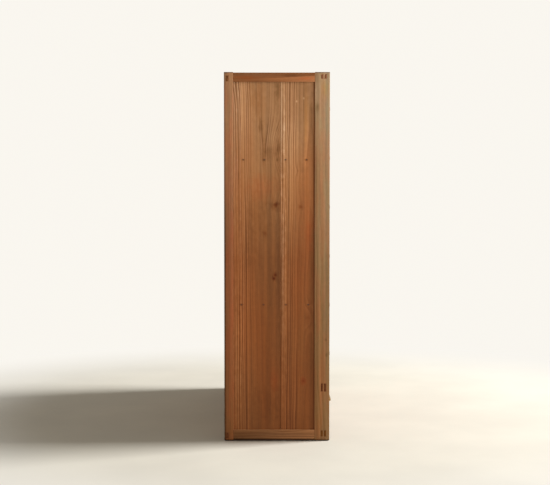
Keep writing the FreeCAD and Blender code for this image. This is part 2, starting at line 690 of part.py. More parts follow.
def knob():
    """A turned wooden knob whose spindle passes through a drawer front."""
    body = doc.addObject("PartDesign::Body", "knob")
    sketch = body.newObject("Sketcher::SketchObject", "knob_profile")
    sketch.AttachmentSupport = [(origin_feature(body, "XY_Plane"), "")]
    sketch.MapMode = "FlatFace"

    # the diameter and the depth behind the drawer's face of each corner, from the spindle to the rim
    corners = [("spindle_diameter", "drawer_front_thickness"),
               ("spindle_diameter", None),
               ("knob_collar_diameter", None),
               ("knob_neck_diameter", "knob_neck_height"),
               ("knob_diameter", "knob_rim_height")]
    spindle_end = FreeCAD.Vector(0, SIZES["drawer_front_thickness"], 0)
    crown = FreeCAD.Vector(0, -SIZES["knob_projection"], 0)
    points = []
    for diameter, depth in corners:
        side = 1 if depth == "drawer_front_thickness" else -1
        points.append(FreeCAD.Vector(SIZES[diameter] / 2, side * SIZES[depth] if depth else 0, 0))

    rim = points[-1]
    rise = SIZES["knob_projection"] - SIZES["knob_rim_height"]
    dome_radius = (rim.x ** 2 + rise ** 2) / (2 * rise)
    shoulder_x = rim.x / 2
    shoulder_rise = dome_radius - (dome_radius ** 2 - shoulder_x ** 2) ** 0.5
    shoulder = FreeCAD.Vector(shoulder_x, crown.y + shoulder_rise, 0)

    outline = [spindle_end] + points
    edges = [sketch.addGeometry(Part.LineSegment(a, b), False) for a, b in zip(outline, outline[1:])]
    dome = sketch.addGeometry(Part.Arc(crown, shoulder, rim), False)
    axis = sketch.addGeometry(Part.LineSegment(crown, spindle_end), False)

    for first, second in zip(edges, edges[1:]):
        sketch.addConstraint(Sketcher.Constraint("Coincident", first, 2, second, 1))
    sketch.addConstraint(Sketcher.Constraint("Coincident", edges[-1], 2, dome, 2))
    sketch.addConstraint(Sketcher.Constraint("Coincident", dome, 1, axis, 1))
    sketch.addConstraint(Sketcher.Constraint("Coincident", axis, 2, edges[0], 1))
    sketch.addConstraint(Sketcher.Constraint("PointOnObject", dome, 3, -2))
    sketch.addConstraint(Sketcher.Constraint("PointOnObject", edges[0], 1, -2))
    sketch.addConstraint(Sketcher.Constraint("PointOnObject", dome, 1, -2))
    sketch.addConstraint(Sketcher.Constraint("Horizontal", edges[0]))

    def bind(kind, edge, vertex, start, formula):
        """Ties one coordinate of a corner to its size."""
        number = sketch.addConstraint(Sketcher.Constraint(kind, -1, 1, edge, vertex, start))
        sketch.setExpression(f"Constraints[{number}]", formula)

    for edge, point, (diameter, depth) in zip(edges, points, corners):
        bind("DistanceX", edge, 2, point.x, f"Sizes.{diameter} / 2")
        if depth is None:
            sketch.addConstraint(Sketcher.Constraint("PointOnObject", edge, 2, -1))
        else:
            bind("DistanceY", edge, 2, point.y, f"{'-' if point.y < 0 else ''}Sizes.{depth}")
    bind("DistanceY", dome, 1, crown.y, "-Sizes.knob_projection")

    turned = body.newObject("PartDesign::Revolution", "knob_turned")
    turned.Profile = sketch
    turned.ReferenceAxis = (sketch, ["V_Axis"])
    turned.Angle = 360
    body.setExpression("Placement.Base.y", "Levels.drawer_face_y")
    body.setExpression("Placement.Base.z", "Levels.cell_height / 2")
    return body


knob_hole = rod("knob_hole", "Sizes.spindle_diameter + 2 * Sizes.spindle_clearance", "Levels.drawer_face_y",
                "Levels.drawer_face_y + Sizes.drawer_front_thickness",
                {"x": "0", "z": "Levels.cell_height / 2"}, "y")
seed_pieces = drawer_boards("seed", "Levels.cell_width", "Levels.cell_height", [knob_hole]) + [knob()]
for row in range(1, ROWS + 1):
    for column in range(1, COLUMNS + 1):
        drawer = grouped(f"seed_drawer_row{row}_column{column}", seed_pieces)
        keep(put_in_cell(drawer, f"({column} - {(COLUMNS + 1) / 2}) * Levels.column_pitch",
                   f"Levels.middle_top + {ROWS - row} * Levels.row_pitch"))

# ---------------------------------------------------------------------------------------------
# Wide drawers and their cup pulls
# ---------------------------------------------------------------------------------------------

# the lower lip, above the cell floor
CUP_LEVEL = "((Sizes.wide_opening_height - Sizes.cup_projection) / 2 + Sizes.cup_raise)"
CUP_END_X = "(Sizes.cup_length / 2 - Sizes.cup_projection)"  # centre of each rounded end
RIVET_X = "((Sizes.cup_length + Sizes.cup_plate_overhang) / 2)"
RIVET_Z = f"({CUP_LEVEL} + Sizes.cup_plate_overhang / 2)"
RIVET_HOLE = "Sizes.rivet_diameter + 2 * Sizes.pilot_clearance"


def capsule(name, radius):
    """A cylinder along X with round ends, about the lower lip of the cup."""
    pieces = [rod(f"{name}_bar", f"2 * ({radius})", f"-{CUP_END_X}", CUP_END_X,
                  {"y": "Levels.drawer_face_y", "z": CUP_LEVEL}, "x")]
    for side, sign in (("left", "-"), ("right", "")):
        ball = doc.addObject("Part::Sphere", f"{name}_{side}_end")
        ball.setExpression("Radius", radius)
        ball.setExpression("Placement.Base.x", f"{sign}{CUP_END_X}")
        ball.setExpression("Placement.Base.y", "Levels.drawer_face_y")
        ball.setExpression("Placement.Base.z", CUP_LEVEL)
        pieces.append(ball)
    return fused(name, pieces)


def cup_quarter(name, radius):
    """The quarter of a capsule in front of the drawer face and above the lower lip."""
    room = block(f"{name}_quarter", ("-Sizes.cup_length", "Sizes.cup_length"),
                 ("Levels.drawer_face_y - Sizes.cup_length", "Levels.drawer_face_y"),
                 (CUP_LEVEL, f"{CUP_LEVEL} + Sizes.cup_length"))
    made = doc.addObject("Part::Common", name)
    made.Base = capsule(f"{name}_capsule", radius)
    made.Tool = room
    return made


def cup_pull():
    """A sheet-metal cup on a plate, with a rivet at each end, made for the model cell of a wide drawer."""
    shell = cut("cup_shell", cup_quarter("cup_outside", "Sizes.cup_projection"),
                [cup_quarter("cup_inside", "(Sizes.cup_projection - Sizes.cup_wall)")])
    plate_half = "(Sizes.cup_length / 2 + Sizes.cup_plate_overhang)"
    plate_y = ("Levels.drawer_face_y - Sizes.cup_plate_thickness", "Levels.drawer_face_y")
    plate = block("cup_plate_blank", (f"-{plate_half}", plate_half), plate_y,
                  (CUP_LEVEL, f"{CUP_LEVEL} + Sizes.cup_projection + Sizes.cup_plate_rise"))
    corners = [block(f"cup_plate_{side}_corner", x, plate_y,
                    (f"{CUP_LEVEL} + Sizes.cup_plate_overhang",
                     f"{CUP_LEVEL} + Sizes.cup_projection + Sizes.cup_plate_rise"))
              for side, x in (("left", (f"-{plate_half}", "-Sizes.cup_length / 2")),
                              ("right", ("Sizes.cup_length / 2", plate_half)))]
    mouth = cup_quarter("cup_mouth", "(Sizes.cup_projection - Sizes.cup_wall)")
    holes = [rivet_rod(f"cup_{side}_hole", sign, RIVET_HOLE, *plate_y)
             for side, sign in (("left", "-"), ("right", ""))]
    plate = cut("cup_plate", plate, corners + [mouth] + holes)
    return fused("cup", [shell, plate])


def rivet_rod(name, sign, diameter, start, end):
    """A rod through one of the two rivet holes."""
    return rod(name, diameter, start, end, {"x": f"{sign}{RIVET_X}", "z": RIVET_Z}, "y")


def rivets():
    """The two rivets that hold the cup's plate to the drawer front."""
    made = []
    plate_face = "Levels.drawer_face_y - Sizes.cup_plate_thickness"
    for side, sign in (("left", "-"), ("right", "")):
        head = rivet_rod(f"{side}_rivet_head", sign, "Sizes.rivet_head_diameter",
                         f"{plate_face} - Sizes.rivet_head_height", plate_face)
        shank = rivet_rod(f"{side}_rivet_shank", sign, "Sizes.rivet_diameter", plate_face,
                          "Levels.drawer_face_y + Sizes.drawer_front_thickness")
        made.append(fused(f"{side}_rivet", [head, shank]))
    return made


rivet_holes = [rivet_rod(f"{side}_rivet_hole", sign, RIVET_HOLE, "Levels.drawer_face_y",
                         "Levels.drawer_face_y + Sizes.drawer_front_thickness")
               for side, sign in (("left", "-"), ("right", ""))]
wide_pieces = drawer_boards("wide", "Levels.wide_cell_width", "Sizes.wide_opening_height", rivet_holes)
pull_pieces = [cup_pull()] + rivets()
for side, offset in (("left", -0.5), ("right", 0.5)):
    for group, pieces in ((f"wide_drawer_{side}", wide_pieces), (f"cup_pull_{side}", pull_pieces)):
        keep(put_in_cell(grouped(group, pieces), f"{offset} * Levels.wide_pitch", "Levels.floor_top"))

# ---------------------------------------------------------------------------------------------
# Recompute, check and write the files
# ---------------------------------------------------------------------------------------------

doc.recompute()
for item in doc.Objects:
    if "Invalid" in item.State or "Error" in item.State:
        raise RuntimeError(f"{item.Name} failed: {item.State}")
for made in parts:
    if made.Shape.isNull() or not made.Shape.isValid() or not made.Shape.Solids:
        raise RuntimeError(f"{made.Label} has no valid solid")

os.makedirs("parts", exist_ok=True)
for made in parts:
    made.Shape.exportStep(os.path.join("parts", f"{made.Label}.step"))
print(f"{len(parts)} sub-parts, {sum(len(made.Shape.Solids) for made in parts)} solids")
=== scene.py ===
"""Looks of the seed storage cabinet: boards, turned knobs, brass cup pulls and nails over the CAD frame.

Metres, in the frame of the CAD model: +Z up, drawer fronts towards -Y. Wood is one solid texture,
read in each board's own place: x across the board, y through its thickness, z along its grain.
"""

import functools
import itertools
import math
import random
from collections import namedtuple

import bmesh
import bpy
from mathutils import Matrix, Vector, noise


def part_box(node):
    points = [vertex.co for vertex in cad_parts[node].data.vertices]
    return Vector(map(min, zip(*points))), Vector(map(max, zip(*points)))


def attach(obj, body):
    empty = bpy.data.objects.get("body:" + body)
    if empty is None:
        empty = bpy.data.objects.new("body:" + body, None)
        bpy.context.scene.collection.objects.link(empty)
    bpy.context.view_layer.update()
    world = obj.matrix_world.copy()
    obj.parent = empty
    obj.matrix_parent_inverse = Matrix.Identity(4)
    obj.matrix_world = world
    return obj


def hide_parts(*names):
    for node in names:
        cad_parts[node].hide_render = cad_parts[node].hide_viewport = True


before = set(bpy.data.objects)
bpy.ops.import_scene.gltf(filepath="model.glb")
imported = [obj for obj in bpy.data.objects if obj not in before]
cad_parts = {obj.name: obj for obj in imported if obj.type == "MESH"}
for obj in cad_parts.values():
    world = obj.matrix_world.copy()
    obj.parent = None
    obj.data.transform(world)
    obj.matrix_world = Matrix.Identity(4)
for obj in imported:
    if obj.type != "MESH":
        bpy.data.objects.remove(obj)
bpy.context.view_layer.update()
MM = 0.001

# ---- Planes of the CAD frame ----

POST_LOW, POST_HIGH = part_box("front_left_post")
REAR_LOW, REAR_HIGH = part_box("rear_left_post")
BOTTOM_RAIL_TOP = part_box("left_bottom_rail")[1].z
SIDE_LOW, SIDE_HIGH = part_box("left_side_boards")
NAIL_LOW, NAIL_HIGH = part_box("side_board_nails")
FRAME_LOW = Vector((POST_LOW.x, POST_LOW.y, 0))
FRAME_HIGH = Vector((-POST_LOW.x, REAR_HIGH.y, POST_HIGH.z))
FRAME_MIDDLE = (FRAME_LOW + FRAME_HIGH) / 2

SIDE_JOINT_Y = POST_HIGH.y + 98 * MM  # joint between the two side boards
TOP_JOINT_Y = POST_LOW.y + 128 * MM  # joint between the two boards of the top
BOARD_GAP = 0.5 * MM
BACK_BOARDS = 6
DRAWER_FRONT = 14 * MM
DRAWER_SIDE = DRAWER_BACK = 8 * MM
DRAWER_BOTTOM = 5 * MM
DRAWER_LAP = 7 * MM
SIDE_DROP = 6 * MM  # top of a drawer's sides below the top of its front
BACK_DROP = 6 * MM  # top of its back below the top of its sides
DRAWER_GAP_BELOW = 0.3 * MM  # between a seed drawer and its cell
DRAWER_GAP_ABOVE = 1.5 * MM
KNOB_PROJECTION = 12 * MM
SPINDLE_RADIUS = 4 * MM
CUP_RADIUS = 20 * MM
CUP_HALF_LENGTH = 42 * MM
CUP_WALL = CUP_PLATE = 1.6 * MM
CUP_LIP_RADIUS = 1.3 * MM
CUP_PLATE_OVERHANG = 9 * MM
RIVET_RADIUS = 2 * MM
PAST_THE_FRONT = 0.4 * MM  # reach of spindles and rivets behind a drawer front
NAIL_HEAD = 1.8 * MM  # radius
LOWER_ROW_MARGINS = (18.5 * MM, 23.5 * MM)  # front post to first nail, last nail to rear post
UPPER_ROW_MARGINS = (23.5 * MM, 29.0 * MM)
NAILS_IN_ROW = 4

# ---- The photograph's frame: one pixel on the cabinet's near side is PIXEL wide ----

PIXEL = 2.878 * MM
PHOTO_MIDDLE_X = 276.9  # middle of the cabinet
PHOTO_FLOOR_Y = 440.8  # where its near side meets the floor
PHOTO_WIDTH = 550
FOCAL_PIXELS = 1145.0
CAMERA_DISTANCE = 3.285  # from the near side
EYE_HEIGHT = 0.707
CAMERA_PITCH = math.radians(2.32)


def from_photo(px, py):
    """Where a pixel of the photograph lies on the cabinet's left side, as (y, z)."""
    return FRAME_MIDDLE.y - (px - PHOTO_MIDDLE_X) * PIXEL, (PHOTO_FLOOR_Y - py) * PIXEL


def board_pixels(middle_y, middle_z, lying=False):
    """A function from pixels of the photograph to (across, along) on a board of the left side."""
    def centre(px, py):
        y, z = from_photo(px, py)
        return (z - middle_z, y - middle_y) if lying else (y - middle_y, z - middle_z)
    return centre


# ---- Node trees ----


def operator(operation, swapped=False):
    """An operator of Value that makes a node."""
    return lambda self, other=0.0: self.work(operation, *((other, self) if swapped else (self, other)))


class Value:
    """A node's output that can be reckoned with like a number or a vector."""

    def __init__(self, tree, socket, scalar=None):
        self.socket = socket
        scalar = socket.type == "VALUE" if scalar is None else scalar
        self.work = tree.math if scalar else tree.vector

    __add__ = __radd__ = operator("ADD")
    __sub__ = operator("SUBTRACT")
    __rsub__ = operator("SUBTRACT", swapped=True)
    __mul__ = __rmul__ = operator("MULTIPLY")
    __truediv__ = operator("DIVIDE")
    __abs__ = operator("ABSOLUTE")


class Tree:
    """The node tree of a material or of the world, with short calls for the nodes used here."""

    def __init__(self, owner):
        self.owner = owner
        owner.use_nodes = True
        self.nodes = owner.node_tree.nodes
        self.links = owner.node_tree.links
        self.shader = self.nodes.get("Principled BSDF")

    def node(self, kind, **settings):
        node = self.nodes.new(f"ShaderNode{kind}")
        for name, value in settings.items():
            setattr(node, name, value)
        return node

    def set(self, socket, value):
        """Links a socket, or gives it a constant; one number fills a whole vector or a grey."""
        if isinstance(value, Value):
            value = value.socket
        if isinstance(value, bpy.types.NodeSocket):
            self.links.new(value, socket)
            return
        if socket.type in ("VECTOR", "RGBA") and isinstance(value, (int, float)):
            value = (value,) * 3
        socket.default_value = (*value, 1) if socket.type == "RGBA" else value

    def fill(self, node, **values):
        """Gives a node's sockets their values; _ in a name stands for a space."""
        for name, value in values.items():
            self.set(node.inputs[name.replace("_", " ")], value)

    def fed(self, node, values, output=0):
        """A node's output once its first sockets have their values."""
        for socket, value in zip(node.inputs, values):
            self.set(socket, value)
        return Value(self, node.outputs[output])

    def math(self, operation, a, b=0.0):
        return self.fed(self.node("Math", operation=operation), (a, b))

    def vector(self, operation, a, b=0.0):
        output = "Value" if operation in ("LENGTH", "DOT_PRODUCT") else "Vector"
        return self.fed(self.node("VectorMath", operation=operation), (a, b), output)

    def split(self, vector):
        node = self.node("SeparateXYZ")
        self.fill(node, Vector=vector)
        return [Value(self, output) for output in node.outputs]

    def join(self, x, y, z):
        return self.fed(self.node("CombineXYZ"), (x, y, z))

    def coordinates(self, output="Object"):
        return Value(self, self.node("TexCoord").outputs[output])

    def attribute(self, name, output="Vector"):
        return Value(self, self.node("Attribute", attribute_name=name).outputs[output])

    def noise(self, vector, scale, detail=2.0, output="Fac"):
        """Smooth noise from 0 to 1; scale is waves per metre, along each axis or along all."""
        node = self.node("TexNoise")
        self.fill(node, Vector=vector * scale, Scale=1.0, Detail=detail)
        return Value(self, node.outputs[output])

    def ramp(self, value, *stops):
        """A ramp through (position, colour) stops; a colour is three numbers or one grey."""
        node = self.node("ValToRGB")
        elements = node.color_ramp.elements
        while len(elements) < len(stops):
            elements.new(0.5)
        for element, (position, colour) in zip(elements, stops):
            element.position = position
            element.color = (*(colour if isinstance(colour, tuple) else (colour,) * 3), 1)
        self.fill(node, Fac=value)
        return Value(self, node.outputs["Color"], scalar=not isinstance(stops[0][1], tuple))

    def between(self, value, low, high, to_low=0.0, to_high=1.0):
        """A value eased from one range to another, and held at its ends."""
        node = self.node("MapRange", interpolation_type="SMOOTHSTEP")
        return self.fed(node, (value, low, high, to_low, to_high), "Result")

    def band(self, value, low, high, soft):
        """A mask that is 1 between two values and eases off outside them."""
        return (self.between(value, low - soft, low + soft)
                * self.between(value, high - soft, high + soft, 1.0, 0.0))

    def mix(self, share, a, b, blend="MIX"):
        """Two colours mixed; a colour is a value, three numbers or one grey."""
        node = self.node("Mix", data_type="RGBA", blend_type=blend)
        self.set(node.inputs["Factor"], share)
        for socket, value in zip([each for each in node.inputs if each.type == "RGBA"], (a, b)):
            self.set(socket, value)
        return Value(self, next(each for each in node.outputs if each.type == "RGBA"))

    def times(self, colour, tint):
        """A colour multiplied by another, or made darker or lighter by one value."""
        return self.mix(1.0, colour, tint, "MULTIPLY")

    def tint(self, colour, tint, share):
        """A colour multiplied by a tint where share is 1."""
        return self.mix(share, colour, self.times(colour, tint))

    def bump(self, height, depth):
        node = self.node("Bump")
        self.fill(node, Distance=depth, Height=height)
        self.fill(self.shader, Normal=node.outputs["Normal"])


def material_tree(name):
    return Tree(bpy.data.materials.new(name))


# ---- Wood ----

# Colours are linear. late is the dark line of each year's ring, rings the width of a year in mm,
# contrast how strongly the lines show, and tone how much a board varies from place to place.
Look = namedtuple("Look", "early late rings contrast tone")
SIDE_RED = Look((0.372, 0.172, 0.069), (0.200, 0.078, 0.026), 6.0, 0.95, 0.30)
RAIL_RED = Look((0.280, 0.108, 0.038), (0.160, 0.052, 0.016), 4.0, 0.7, 0.35)
POST_GREY = Look((0.353, 0.209, 0.109), (0.250, 0.135, 0.062), 5.0, 0.6, 0.30)
POST_RED = Look((0.324, 0.155, 0.073), (0.200, 0.080, 0.031), 4.5, 0.6, 0.35)
FRONT_RED = Look((0.285, 0.128, 0.052), (0.155, 0.058, 0.021), 4.6, 0.85, 0.40)
BARE = Look((0.40, 0.245, 0.125), (0.27, 0.140, 0.064), 4.6, 0.7, 0.30)
KNOB_DARK = Look((0.12, 0.052, 0.024), (0.065, 0.026, 0.013), 1.8, 0.6, 0.3)


class Place:
    """Where a point lies: its place in the board, the board's half size, its place in the log, end grain.

    tone makes the board paler or darker, and ragged is how far the outlines of stains wander.
    """

    def __init__(self, tree, place, half, log, end, tone=1.0):
        self.place, self.half, self.log, self.end, self.tone = place, half, log, end, tone
        self.ragged = (tree.noise(place, (110, 110, 60)) - 0.5) * 2.2


def board_axes(size, grain):
    """The axes of a board's size that run across it, through it and along its grain."""
    along = "xyz".index(grain)
    through, across = sorted({0, 1, 2} - {along}, key=lambda axis: (size[axis], axis))
    return across, through, along


def cad_place(tree, node, grain, pith):
    """Places in a CAD node, read from its own corners."""
    low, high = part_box(node)
    half = (high - low) / 2
    axes = board_axes(high - low, grain)
    local = tree.split(tree.coordinates() - tuple((low + high) / 2))
    normal = tree.split(tree.coordinates("Normal"))
    place = tree.join(*[local[axis] for axis in axes])
    end = tree.between(abs(normal[axes[2]]), 0.6, 0.9)
    return Place(tree, place, tuple(half[axis] for axis in axes), place - tuple(pith), end)


def knot_pull(tree, place, knots):
    """How far the rings are pushed aside round each knot, in mm."""
    pull = 0.0
    for across, along, radius, push in knots:
        offset = (place - (across, 0, along)) * (1 / (2.4 * radius), 0, 1 / (6 * radius))
        bell = tree.math("EXPONENT", tree.vector("DOT_PRODUCT", offset, offset) * -1.0)
        pull += bell * push
    return pull


def edge_distance(tree, at):
    """Distance along the surface to the nearest arris of the board, in metres."""
    x, y, z = tree.split(at.half - abs(at.place))
    lesser, greater = tree.math("MINIMUM", x, y), tree.math("MAXIMUM", x, y)
    return tree.math("MAXIMUM", lesser, tree.math("MINIMUM", greater, z))


def wood(tree, look, at, knots=(), end_tint=(0.50, 0.42, 0.34), finish=None, gloss=0.62, lines=None,
         arris=1.35):
    """Makes a material wood.

    colouring(tree, colour, at) may tint the colour and paint shade and highlights into it. lines(tree, at)
    may give how strongly the years show at each place. arris makes the worn edges paler or darker.
    """
    log = at.log * 1000
    sway = tree.noise(at.log, (7, 7, 1.3), 2.0, "Color") - 0.5
    waver = tree.noise(at.log, (45, 45, 9), 1.0, "Color") - 0.5
    bent = log + sway * (22, 22, 0) + waver * (3.2, 3.2, 0)
    radius = tree.vector("LENGTH", bent * (1, 1, 0))
    if knots:
        radius += knot_pull(tree, at.place, knots)
    years = tree.noise(tree.join(radius, 0, 0), (0.045, 1, 1))
    phase = radius / look.rings + years * 3.0
    year = tree.math("FRACT", phase)
    ring = tree.ramp(year, (0.0, 0.30), (0.12, 0.0), (0.42, 0.15), (0.66, 0.62), (0.84, 1.0),
                     (0.94, 0.85), (1.0, 0.30))
    pale = tree.ramp(year, (0.0, 0.0), (0.10, 1.0), (0.24, 0.8), (0.42, 0.0))

    streak = tree.noise(at.log, (110, 110, 1.6), 3.0)
    wide_streak = tree.noise(at.log, (38, 38, 0.7))
    fibre = tree.noise(at.log, (800, 800, 12))
    cloud = tree.noise(at.log, (16, 16, 3.0), 3.0)
    hue = tree.noise(at.log, (11, 11, 1.8))
    mottle = tree.noise(at.place, (120, 120, 90), 3.0)
    vigour = tree.noise(tree.join(phase, tree.split(log)[2], 0), (0.55, 0.002, 1), 1.0)
    strength = tree.between(cloud, 0.3, 0.7, 0.55, 1.0) * look.contrast
    strength *= tree.between(vigour, 0.30, 0.70, 0.35, 1.25)
    if lines:
        strength *= lines(tree, at)
    colour = tree.mix(ring * strength, look.early, look.late)
    colour = tree.tint(colour, (1.18, 1.20, 1.36), pale * strength)
    colour = tree.tint(colour, (1.03, 0.86, 0.74), tree.between(hue, 0.42, 0.68, 0.0, 0.8))

    shade = at.tone
    for value, share in ((streak, 0.65), (wide_streak, 0.55), (fibre, 0.35), (cloud, look.tone * 2),
                         (mottle, 0.22)):
        shade += (value - 0.5) * share
    colour = tree.tint(tree.times(colour, shade), end_tint, at.end)
    if finish:
        colour = finish(tree, colour, at)

    ragged_edge = edge_distance(tree, at) + (streak - 0.5) * (2.5 * MM)
    worn = tree.between(ragged_edge, 0.2 * MM, 1.8 * MM, 1.0, 0.0)
    rough = tree.between(streak, 0.2, 0.8, gloss - 0.08, gloss + 0.1) - worn * 0.08
    tree.fill(tree.shader, Base_Color=tree.tint(colour, arris, worn * 0.5), Roughness=rough,
              Specular_IOR_Level=0.12)
    tree.bump(ring * 0.5 + fibre * 0.8, 0.12 * MM)
    return tree.owner


def attribute_wood(name, look, **options):
    """Wood for meshes that carry their own places."""
    tree = material_tree(name)
    at = Place(tree, *(tree.attribute(each) for each in ("place", "half", "log")),
               *(tree.attribute(each, "Fac") for each in ("end", "tone")))
    return wood(tree, look, at, **options)


# ---- Stains, tints and painted shade ----

REDDER = (1.10, 0.80, 0.70)
DARKER = (0.72, 0.68, 0.60)
PALER = (1.14, 1.20, 1.26)
BRIGHT = (1.26, 1.40, 1.62)
SPECK = (1.6, 1.9, 2.3)


def spot(tree, at, centre, size, soft):
    """A mask that is 1 in a ragged oval on a board: centre and size are (across, along)."""
    offset = (at.place - (centre[0], 0, centre[1])) * (1 / size[0], 0, 1 / size[1])
    distance = tree.vector("LENGTH", offset) + at.ragged * soft
    return tree.between(distance, 1.0 - soft, 1.0 + soft, 1.0, 0.0)


def tint_oval(tree, colour, at, centre, size, tint, strength, soft):
    """Tints an oval of a board: tint multiplies the colour at the middle of the oval."""
    return tree.tint(colour, tint, spot(tree, at, centre, size, soft) * strength)


def add_marks(tree, colour, at, marks, centre):
    """Stains, and on the front post a painted highlight, where the photograph has them: (px, py, half size
    across and along in mm, tint, strength).
    """
    for px, py, across, along, tint, strength in marks:
        colour = tint_oval(tree, colour, at, centre(px, py), (across * MM, along * MM), tint, strength, 0.9)
    return colour


def patina_and_shade(tree, colour, tints):
    """Tints of the colour at shares of the cabinet's height: darker and redder towards the floor, partly the
    wood's age and partly painted shade.
    """
    height = tree.split(tree.coordinates())[2] / FRAME_HIGH.z
    return tree.times(colour, tree.ramp(height, *tints))


# ---- Boards as meshes ----


def cut_planes(values, step):
    """Sorted planes through the given values, with even cuts between those that lie far apart."""
    values = sorted(set(round(value, 7) for value in values))
    planes = [values[0]]
    for low, high in zip(values, values[1:]):
        count = max(1, round((high - low) / step))
        planes += [low + (high - low) * number / count for number in range(1, count + 1)]
    return planes


def brick_skin(boxes, steps):
    """The closed skin of a union of boxes, as a bmesh with a grid of cuts."""
    planes = [cut_planes([corner[axis] for box in boxes for corner in box], steps[axis])
              for axis in range(3)]
    skin = bmesh.new()

    def filled(cell):
        middle = [sum(planes[axis][cell[axis]:cell[axis] + 2]) / 2 for axis in range(3)]
        return any(all(low[axis] < middle[axis] < high[axis] for axis in range(3)) for low, high in boxes)

    @functools.cache
    def vertex(*index):
        return skin.verts.new([planes[axis][index[axis]] for axis in range(3)])

    solid = set(filter(filled, itertools.product(*(range(len(each) - 1) for each in planes))))
    for cell in sorted(solid):
        for axis in range(3):
            first, second = (axis + 1) % 3, (axis + 2) % 3
            for side in (0, 1):
                beside = list(cell)
                beside[axis] += 1 if side else -1
                if tuple(beside) in solid:
                    continue
                ring = []
                for a, b in ((0, 0), (1, 0), (1, 1), (0, 1)):
                    index = list(cell)
                    index[axis] += side
                    index[first] += a
                    index[second] += b
                    ring.append(vertex(*index))
                skin.faces.new(ring if side else reversed(ring))
    return skin


def eased(skin, width):
    """Rounds the arrises of a skin."""
    skin.normal_update()
    arrises = [edge for edge in skin.edges if edge.is_manifold and edge.calc_face_angle_signed() > 0.5]
    bmesh.ops.bevel(skin, geom=arrises, offset=width, segments=2, profile=0.6, affect="EDGES",
                    clamp_overlap=True)
    skin.normal_update()


class Carpentry:
    """Boards joined into one mesh. A vertex is its point, place, half size, place in the log and tone."""

    def __init__(self, name):
        self.name = name
        self.draw = random.Random(name)
        self.vertices, self.faces, self.end = [], [], []

    def board(self, *boxes, grain, pith=None, tilt=None, ease=0.6 * MM, steps=(40 * MM,) * 3,
              wobble=0.12 * MM, cup=0.0, tone=None):
        """Adds one board, the union of some boxes. pith is where the tree's middle lies in its place."""
        low = Vector([min(box[0][axis] for box in boxes) for axis in range(3)])
        high = Vector([max(box[1][axis] for box in boxes) for axis in range(3)])
        middle, half = (low + high) / 2, (high - low) / 2
        axes = board_axes(high - low, grain)
        if pith is None:
            side = self.draw.choice((-1, 1))
            pith = (self.draw.uniform(-50, 50) * MM, side * self.draw.uniform(30, 80) * MM,
                    self.draw.uniform(-4, 4))
        if tilt is None:
            tilt = self.draw.uniform(-0.05, 0.05)
        if tone is None:
            tone = self.draw.uniform(0.86, 1.10)
        skin = brick_skin(boxes, steps)
        eased(skin, ease)
        first = len(self.vertices)
        shift = Vector([self.draw.uniform(-50, 50) for _ in range(3)])
        for vertex in skin.verts:
            local = vertex.co - middle
            place = Vector([local[axis] for axis in axes])
            dent = wobble * (0.5 + 0.5 * noise.noise(vertex.co * 35 + shift))
            moved = vertex.co - vertex.normal * dent
            moved[axes[1]] += cup * (place.x / half[axes[0]]) ** 2
            log = (place.x - pith[0], place.y - pith[1] + tilt * place.z, place.z - pith[2])
            self.vertices.append((moved, place, [half[axis] for axis in axes], log, tone))
        skin.verts.index_update()
        for face in skin.faces:
            self.faces.append([first + vertex.index for vertex in face.verts])
            self.end.append(1.0 if abs(face.normal[axes[2]]) > 0.7 else 0.0)
        skin.free()
        return self

    def make(self, material):
        """The finished object."""
        mesh = bpy.data.meshes.new(self.name)
        points, *layers, tone = zip(*self.vertices)
        mesh.from_pydata(points, [], self.faces)
        for name, values in zip(("place", "half", "log"), layers):
            layer = mesh.attributes.new(name, "FLOAT_VECTOR", "POINT")
            layer.data.foreach_set("vector", [number for value in values for number in value])
        mesh.attributes.new("tone", "FLOAT", "POINT").data.foreach_set("value", tone)
        mesh.attributes.new("end", "FLOAT", "FACE").data.foreach_set("value", self.end)
        return shown(self.name, mesh, material, 0.7)


def in_scene(name, data):
    """A new object of the scene."""
    thing = bpy.data.objects.new(name, data)
    bpy.context.scene.collection.objects.link(thing)
    return thing


def shown(name, mesh, material, sharp):
    """An object from a mesh, smooth but for edges sharper than an angle in radians."""
    mesh.materials.append(material)
    mesh.polygons.foreach_set("use_smooth", [True] * len(mesh.polygons))
    mesh.set_sharp_from_angle(angle=sharp)
    piece = in_scene(name, mesh)
    piece.modifiers.new("even_normals", "WEIGHTED_NORMAL").keep_sharp = True
    return piece


def from_bmesh(name, skin, material, sharp=0.9):
    """An object from a bmesh, with its faces turned outward."""
    bmesh.ops.recalc_face_normals(skin, faces=skin.faces)
    mesh = bpy.data.meshes.new(name)
    skin.to_mesh(mesh)
    skin.free()
    return shown(name, mesh, material, sharp)


def placed(piece, body, node):
    """Rides a piece on its body and lets it stand for a CAD node."""
    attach(piece, body)
    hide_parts(node)


def turned(skin, profile, place, segments):
    """Adds a turned form to a bmesh. profile is (radius, height) pairs along the +Z of its place."""
    angles = [2 * math.pi * number / segments for number in range(segments)]
    rings = []
    for radius, height in profile:
        points = [(radius * math.cos(angle), radius * math.sin(angle), height) for angle in angles]
        count = segments if radius else 1
        rings.append([skin.verts.new(place @ Vector(point)) for point in points[:count]])
    for lower, upper in zip(rings, rings[1:]):
        for number in range(segments):
            after = (number + 1) % segments
            corners = [lower[number % len(lower)], lower[after % len(lower)],
                       upper[after % len(upper)], upper[number % len(upper)]]
            skin.faces.new(list(dict.fromkeys(corners)))


def stitch(skin, first, second):
    """Adds the faces between two rows of vertices."""
    for number in range(len(first) - 1):
        skin.faces.new((first[number], second[number], second[number + 1], first[number + 1]))


def rounded(profile):
    """A profile with its corners cut off twice; its ends stay."""
    for _ in range(2):
        pairs = zip(profile, profile[1:])
        cut = [tuple(Vector(first).lerp(Vector(second), share)) for first, second in pairs
               for share in (0.25, 0.75)]
        profile = [profile[0], *cut, profile[-1]]
    return profile


